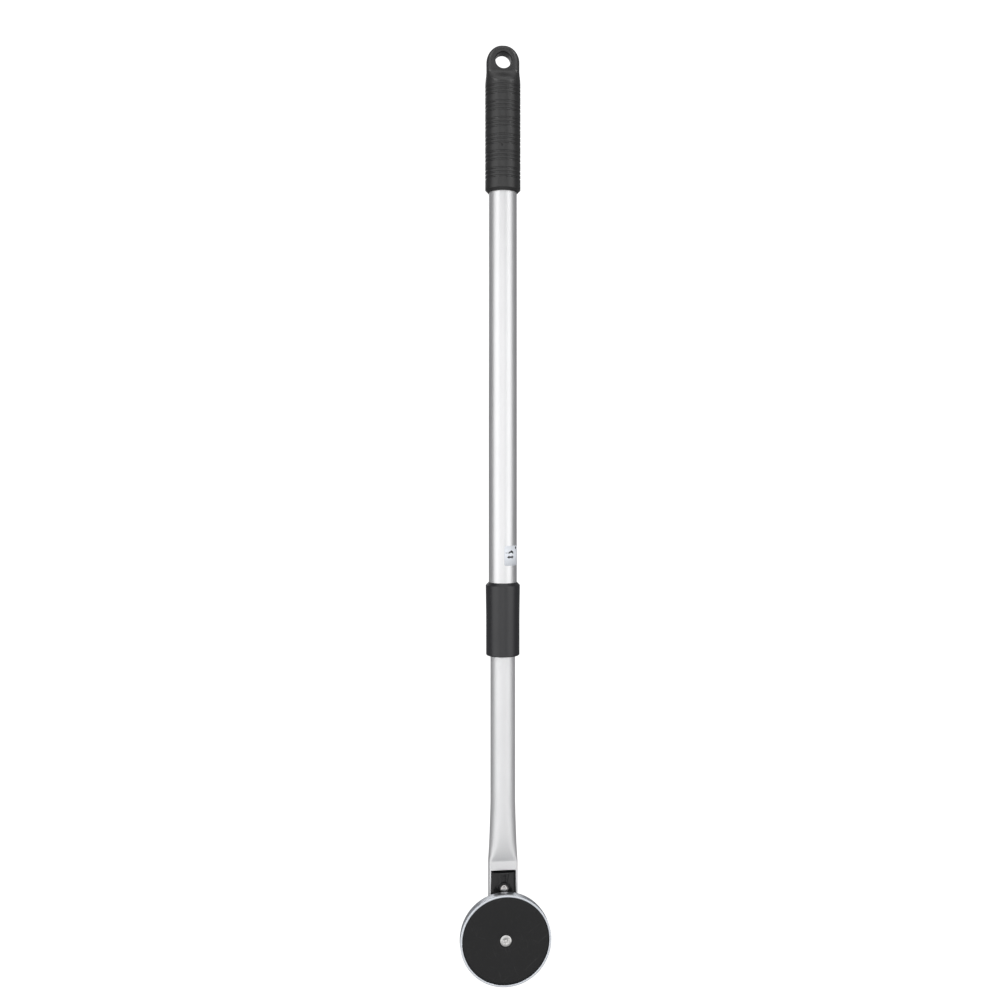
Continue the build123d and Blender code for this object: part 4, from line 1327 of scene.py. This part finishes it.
# ---- inner frame pieces ---------------------------------------------------------------------------------
class SWEEPER_OT_inner_pieces(bpy.types.Operator):
    """Give the frame's own inner pieces their finishes"""
    bl_idname = "sweeper.inner_pieces"
    bl_label = "Inner pieces"

    def execute(self, context):
        materials = bpy.data.materials
        ferrite = sintered_ferrite()
        chosen = {
            "collet": materials["grained_plastic"], "collet_pins": materials["plated_steel"],
            "glide_ring": materials["natural_nylon"], "lower_tube_plug": materials["natural_nylon"],
            "glide_washer": materials["plated_steel"], "glide_screw": materials["plated_steel"],
            "dome_bolt": materials["plated_steel"],
            "filler_ring": materials["scuffed_face"], "ring_magnet": ferrite,
            "centre_pole": materials["plated_steel"],
        }
        for node, material in chosen.items():
            for slot in frame["nodes"][node].material_slots:
                slot.material = material
        return {"FINISHED"}


# ---- stage ----------------------------------------------------------------------------------------------
def soft_box(name, azimuth, elevation, distance, width, height, brightness, target):
    """Rectangular studio light that faces the object; brightness is what a mirror would show of it."""
    data = bpy.data.lights.new(name, "AREA")
    data.shape = "RECTANGLE"
    data.size = width
    data.size_y = height
    data.energy = brightness * math.pi * width * height
    light = bpy.data.objects.new(name, data)
    bpy.context.scene.collection.objects.link(light)
    around, up = math.radians(azimuth), math.radians(elevation)
    away = Vector((math.sin(around) * math.cos(up), -math.cos(around) * math.cos(up), math.sin(up)))
    light.location = target + away * distance
    light.rotation_mode = "QUATERNION"
    light.rotation_quaternion = (-away).to_track_quat("-Z", "Y")
    light.visible_camera = False
    return light


class SWEEPER_OT_stage(bpy.types.Operator):
    """Set up the pale floor, the backdrop, the soft lights and the camera"""
    bl_idname = "sweeper.stage"
    bl_label = "Stage"

    def execute(self, context):
        scene = context.scene
        scene.view_settings.view_transform = "Standard"
        middle = Vector((0, 0, (cad_low.z + cad_high.z) / 2))
        self.backdrop()
        self.world(scene)
        soft_box("left_softbox", -57, -5, 1.6, 1.6, 2.5, 1.17, middle)
        soft_box("middle_softbox", -6, 0, 2.2, 1.5, 3.0, 1.0, middle)
        soft_box("right_softbox", 46, -4, 1.7, 1.55, 2.5, 1.15, middle)
        soft_box("low_softbox", -6, -58, 1.6, 1.4, 1.2, 0.32, middle)
        soft_box("top_softbox", 0, 75, 1.6, 1.2, 1.2, 0.9, middle)
        soft_box("rear_softbox", 180, 28, 2.0, 1.8, 1.5, 0.8, middle)
        soft_box("left_lamp", -52, 48, 1.8, 0.34, 0.34, 9.0, middle)
        soft_box("right_lamp", 52, 48, 1.8, 0.34, 0.34, 9.0, middle)
        self.camera(scene)
        return {"FINISHED"}

    def backdrop(self):
        """Pale floor and dome, seen by the camera but kept out of the metal's reflections."""
        floor_level = cad_low.z - 0.30      # clears the pole at full length
        reach = 5.0
        floor = spin("studio_floor", [(0.0, floor_level), (reach, floor_level)], about_z(), steps=64)
        dome = spin("studio_dome", [(reach * math.cos(math.pi / 2 * step / 16),
                                     floor_level + reach * math.sin(math.pi / 2 * step / 16))
                                    for step in range(17)], about_z(), steps=64)
        dome.data.flip_normals()
        paper = Finish("studio_paper", Roughness=0.9, Emission_Strength=1.15)
        paper.shader.inputs["Base Color"].default_value = (0.02, 0.02, 0.02, 1)
        paper.shader.inputs["Emission Color"].default_value = (1, 1, 1, 1)
        paper.shader.inputs["Specular IOR Level"].default_value = 0
        for piece in (floor, dome):
            piece.data.materials.append(paper.material)
            piece.visible_glossy = False
            piece.visible_diffuse = False
            piece.visible_shadow = False

    def world(self, scene):
        """Dim even surround."""
        scene.world = bpy.data.worlds.new("studio_air")
        scene.world.use_nodes = True
        background = scene.world.node_tree.nodes["Background"]
        background.inputs[0].default_value = (0.97, 0.98, 1.0, 1)
        background.inputs[1].default_value = 0.22

    def camera(self, scene):
        """Level camera a little to the left of the front, close to the collar's height."""
        data = bpy.data.cameras.new("studio_camera")
        data.lens = 39.6
        data.sensor_width = 36.0
        data.shift_x = -0.0028
        data.shift_y = -0.045
        camera = bpy.data.objects.new("studio_camera", data)
        scene.collection.objects.link(camera)
        azimuth = math.radians(-6.5)
        distance = 0.982
        camera.location = (distance * math.sin(azimuth), -distance * math.cos(azimuth), -0.3507)
        camera.rotation_euler = (math.pi / 2, 0, azimuth)
        scene.camera = camera


# ---- panel and registration -----------------------------------------------------------------------------
class SWEEPER_PT_panel(bpy.types.Panel):
    """Lists the sweeper's builders"""
    bl_idname = "SWEEPER_PT_panel"
    bl_label = "Magnetic nail sweeper"
    bl_space_type = "VIEW_3D"
    bl_region_type = "UI"
    bl_category = "Sweeper"

    def draw(self, context):
        for builder in BUILDERS:
            self.layout.operator(builder.bl_idname)
        for group in GROUPS:
            box = self.layout.box()
            for name in GROUPS[group].__annotations__:
                box.prop(getattr(context.scene, group), name)


BUILDERS = (SWEEPER_OT_stage, SWEEPER_OT_grip, SWEEPER_OT_upper_tube, SWEEPER_OT_lower_tube,
            SWEEPER_OT_twist_lock, SWEEPER_OT_label, SWEEPER_OT_hinge_block, SWEEPER_OT_dome_nut,
            SWEEPER_OT_pivot, SWEEPER_OT_magnet, SWEEPER_OT_inner_pieces)
GROUPS = {"sweeper_grip": SweeperGripSizes, "sweeper_pole": SweeperPoleSizes,
          "sweeper_head": SweeperHeadSizes, "sweeper_colours": SweeperColours}


def register():
    for group, kind in GROUPS.items():
        bpy.utils.register_class(kind)
        setattr(bpy.types.Scene, group, bpy.props.PointerProperty(type=kind))
    for builder in BUILDERS:
        bpy.utils.register_class(builder)
    bpy.utils.register_class(SWEEPER_PT_panel)


def unregister():
    bpy.utils.unregister_class(SWEEPER_PT_panel)
    for builder in reversed(BUILDERS):
        bpy.utils.unregister_class(builder)
    for group, kind in GROUPS.items():
        delattr(bpy.types.Scene, group)
        bpy.utils.unregister_class(kind)


def main():
    register()
    for builder in BUILDERS:
        area, action = builder.bl_idname.split(".")
        outcome = getattr(getattr(bpy.ops, area), action)()
        if outcome != {"FINISHED"}:
            raise RuntimeError(f"{builder.bl_label} did not finish")


if __name__ == "__main__":
    main()
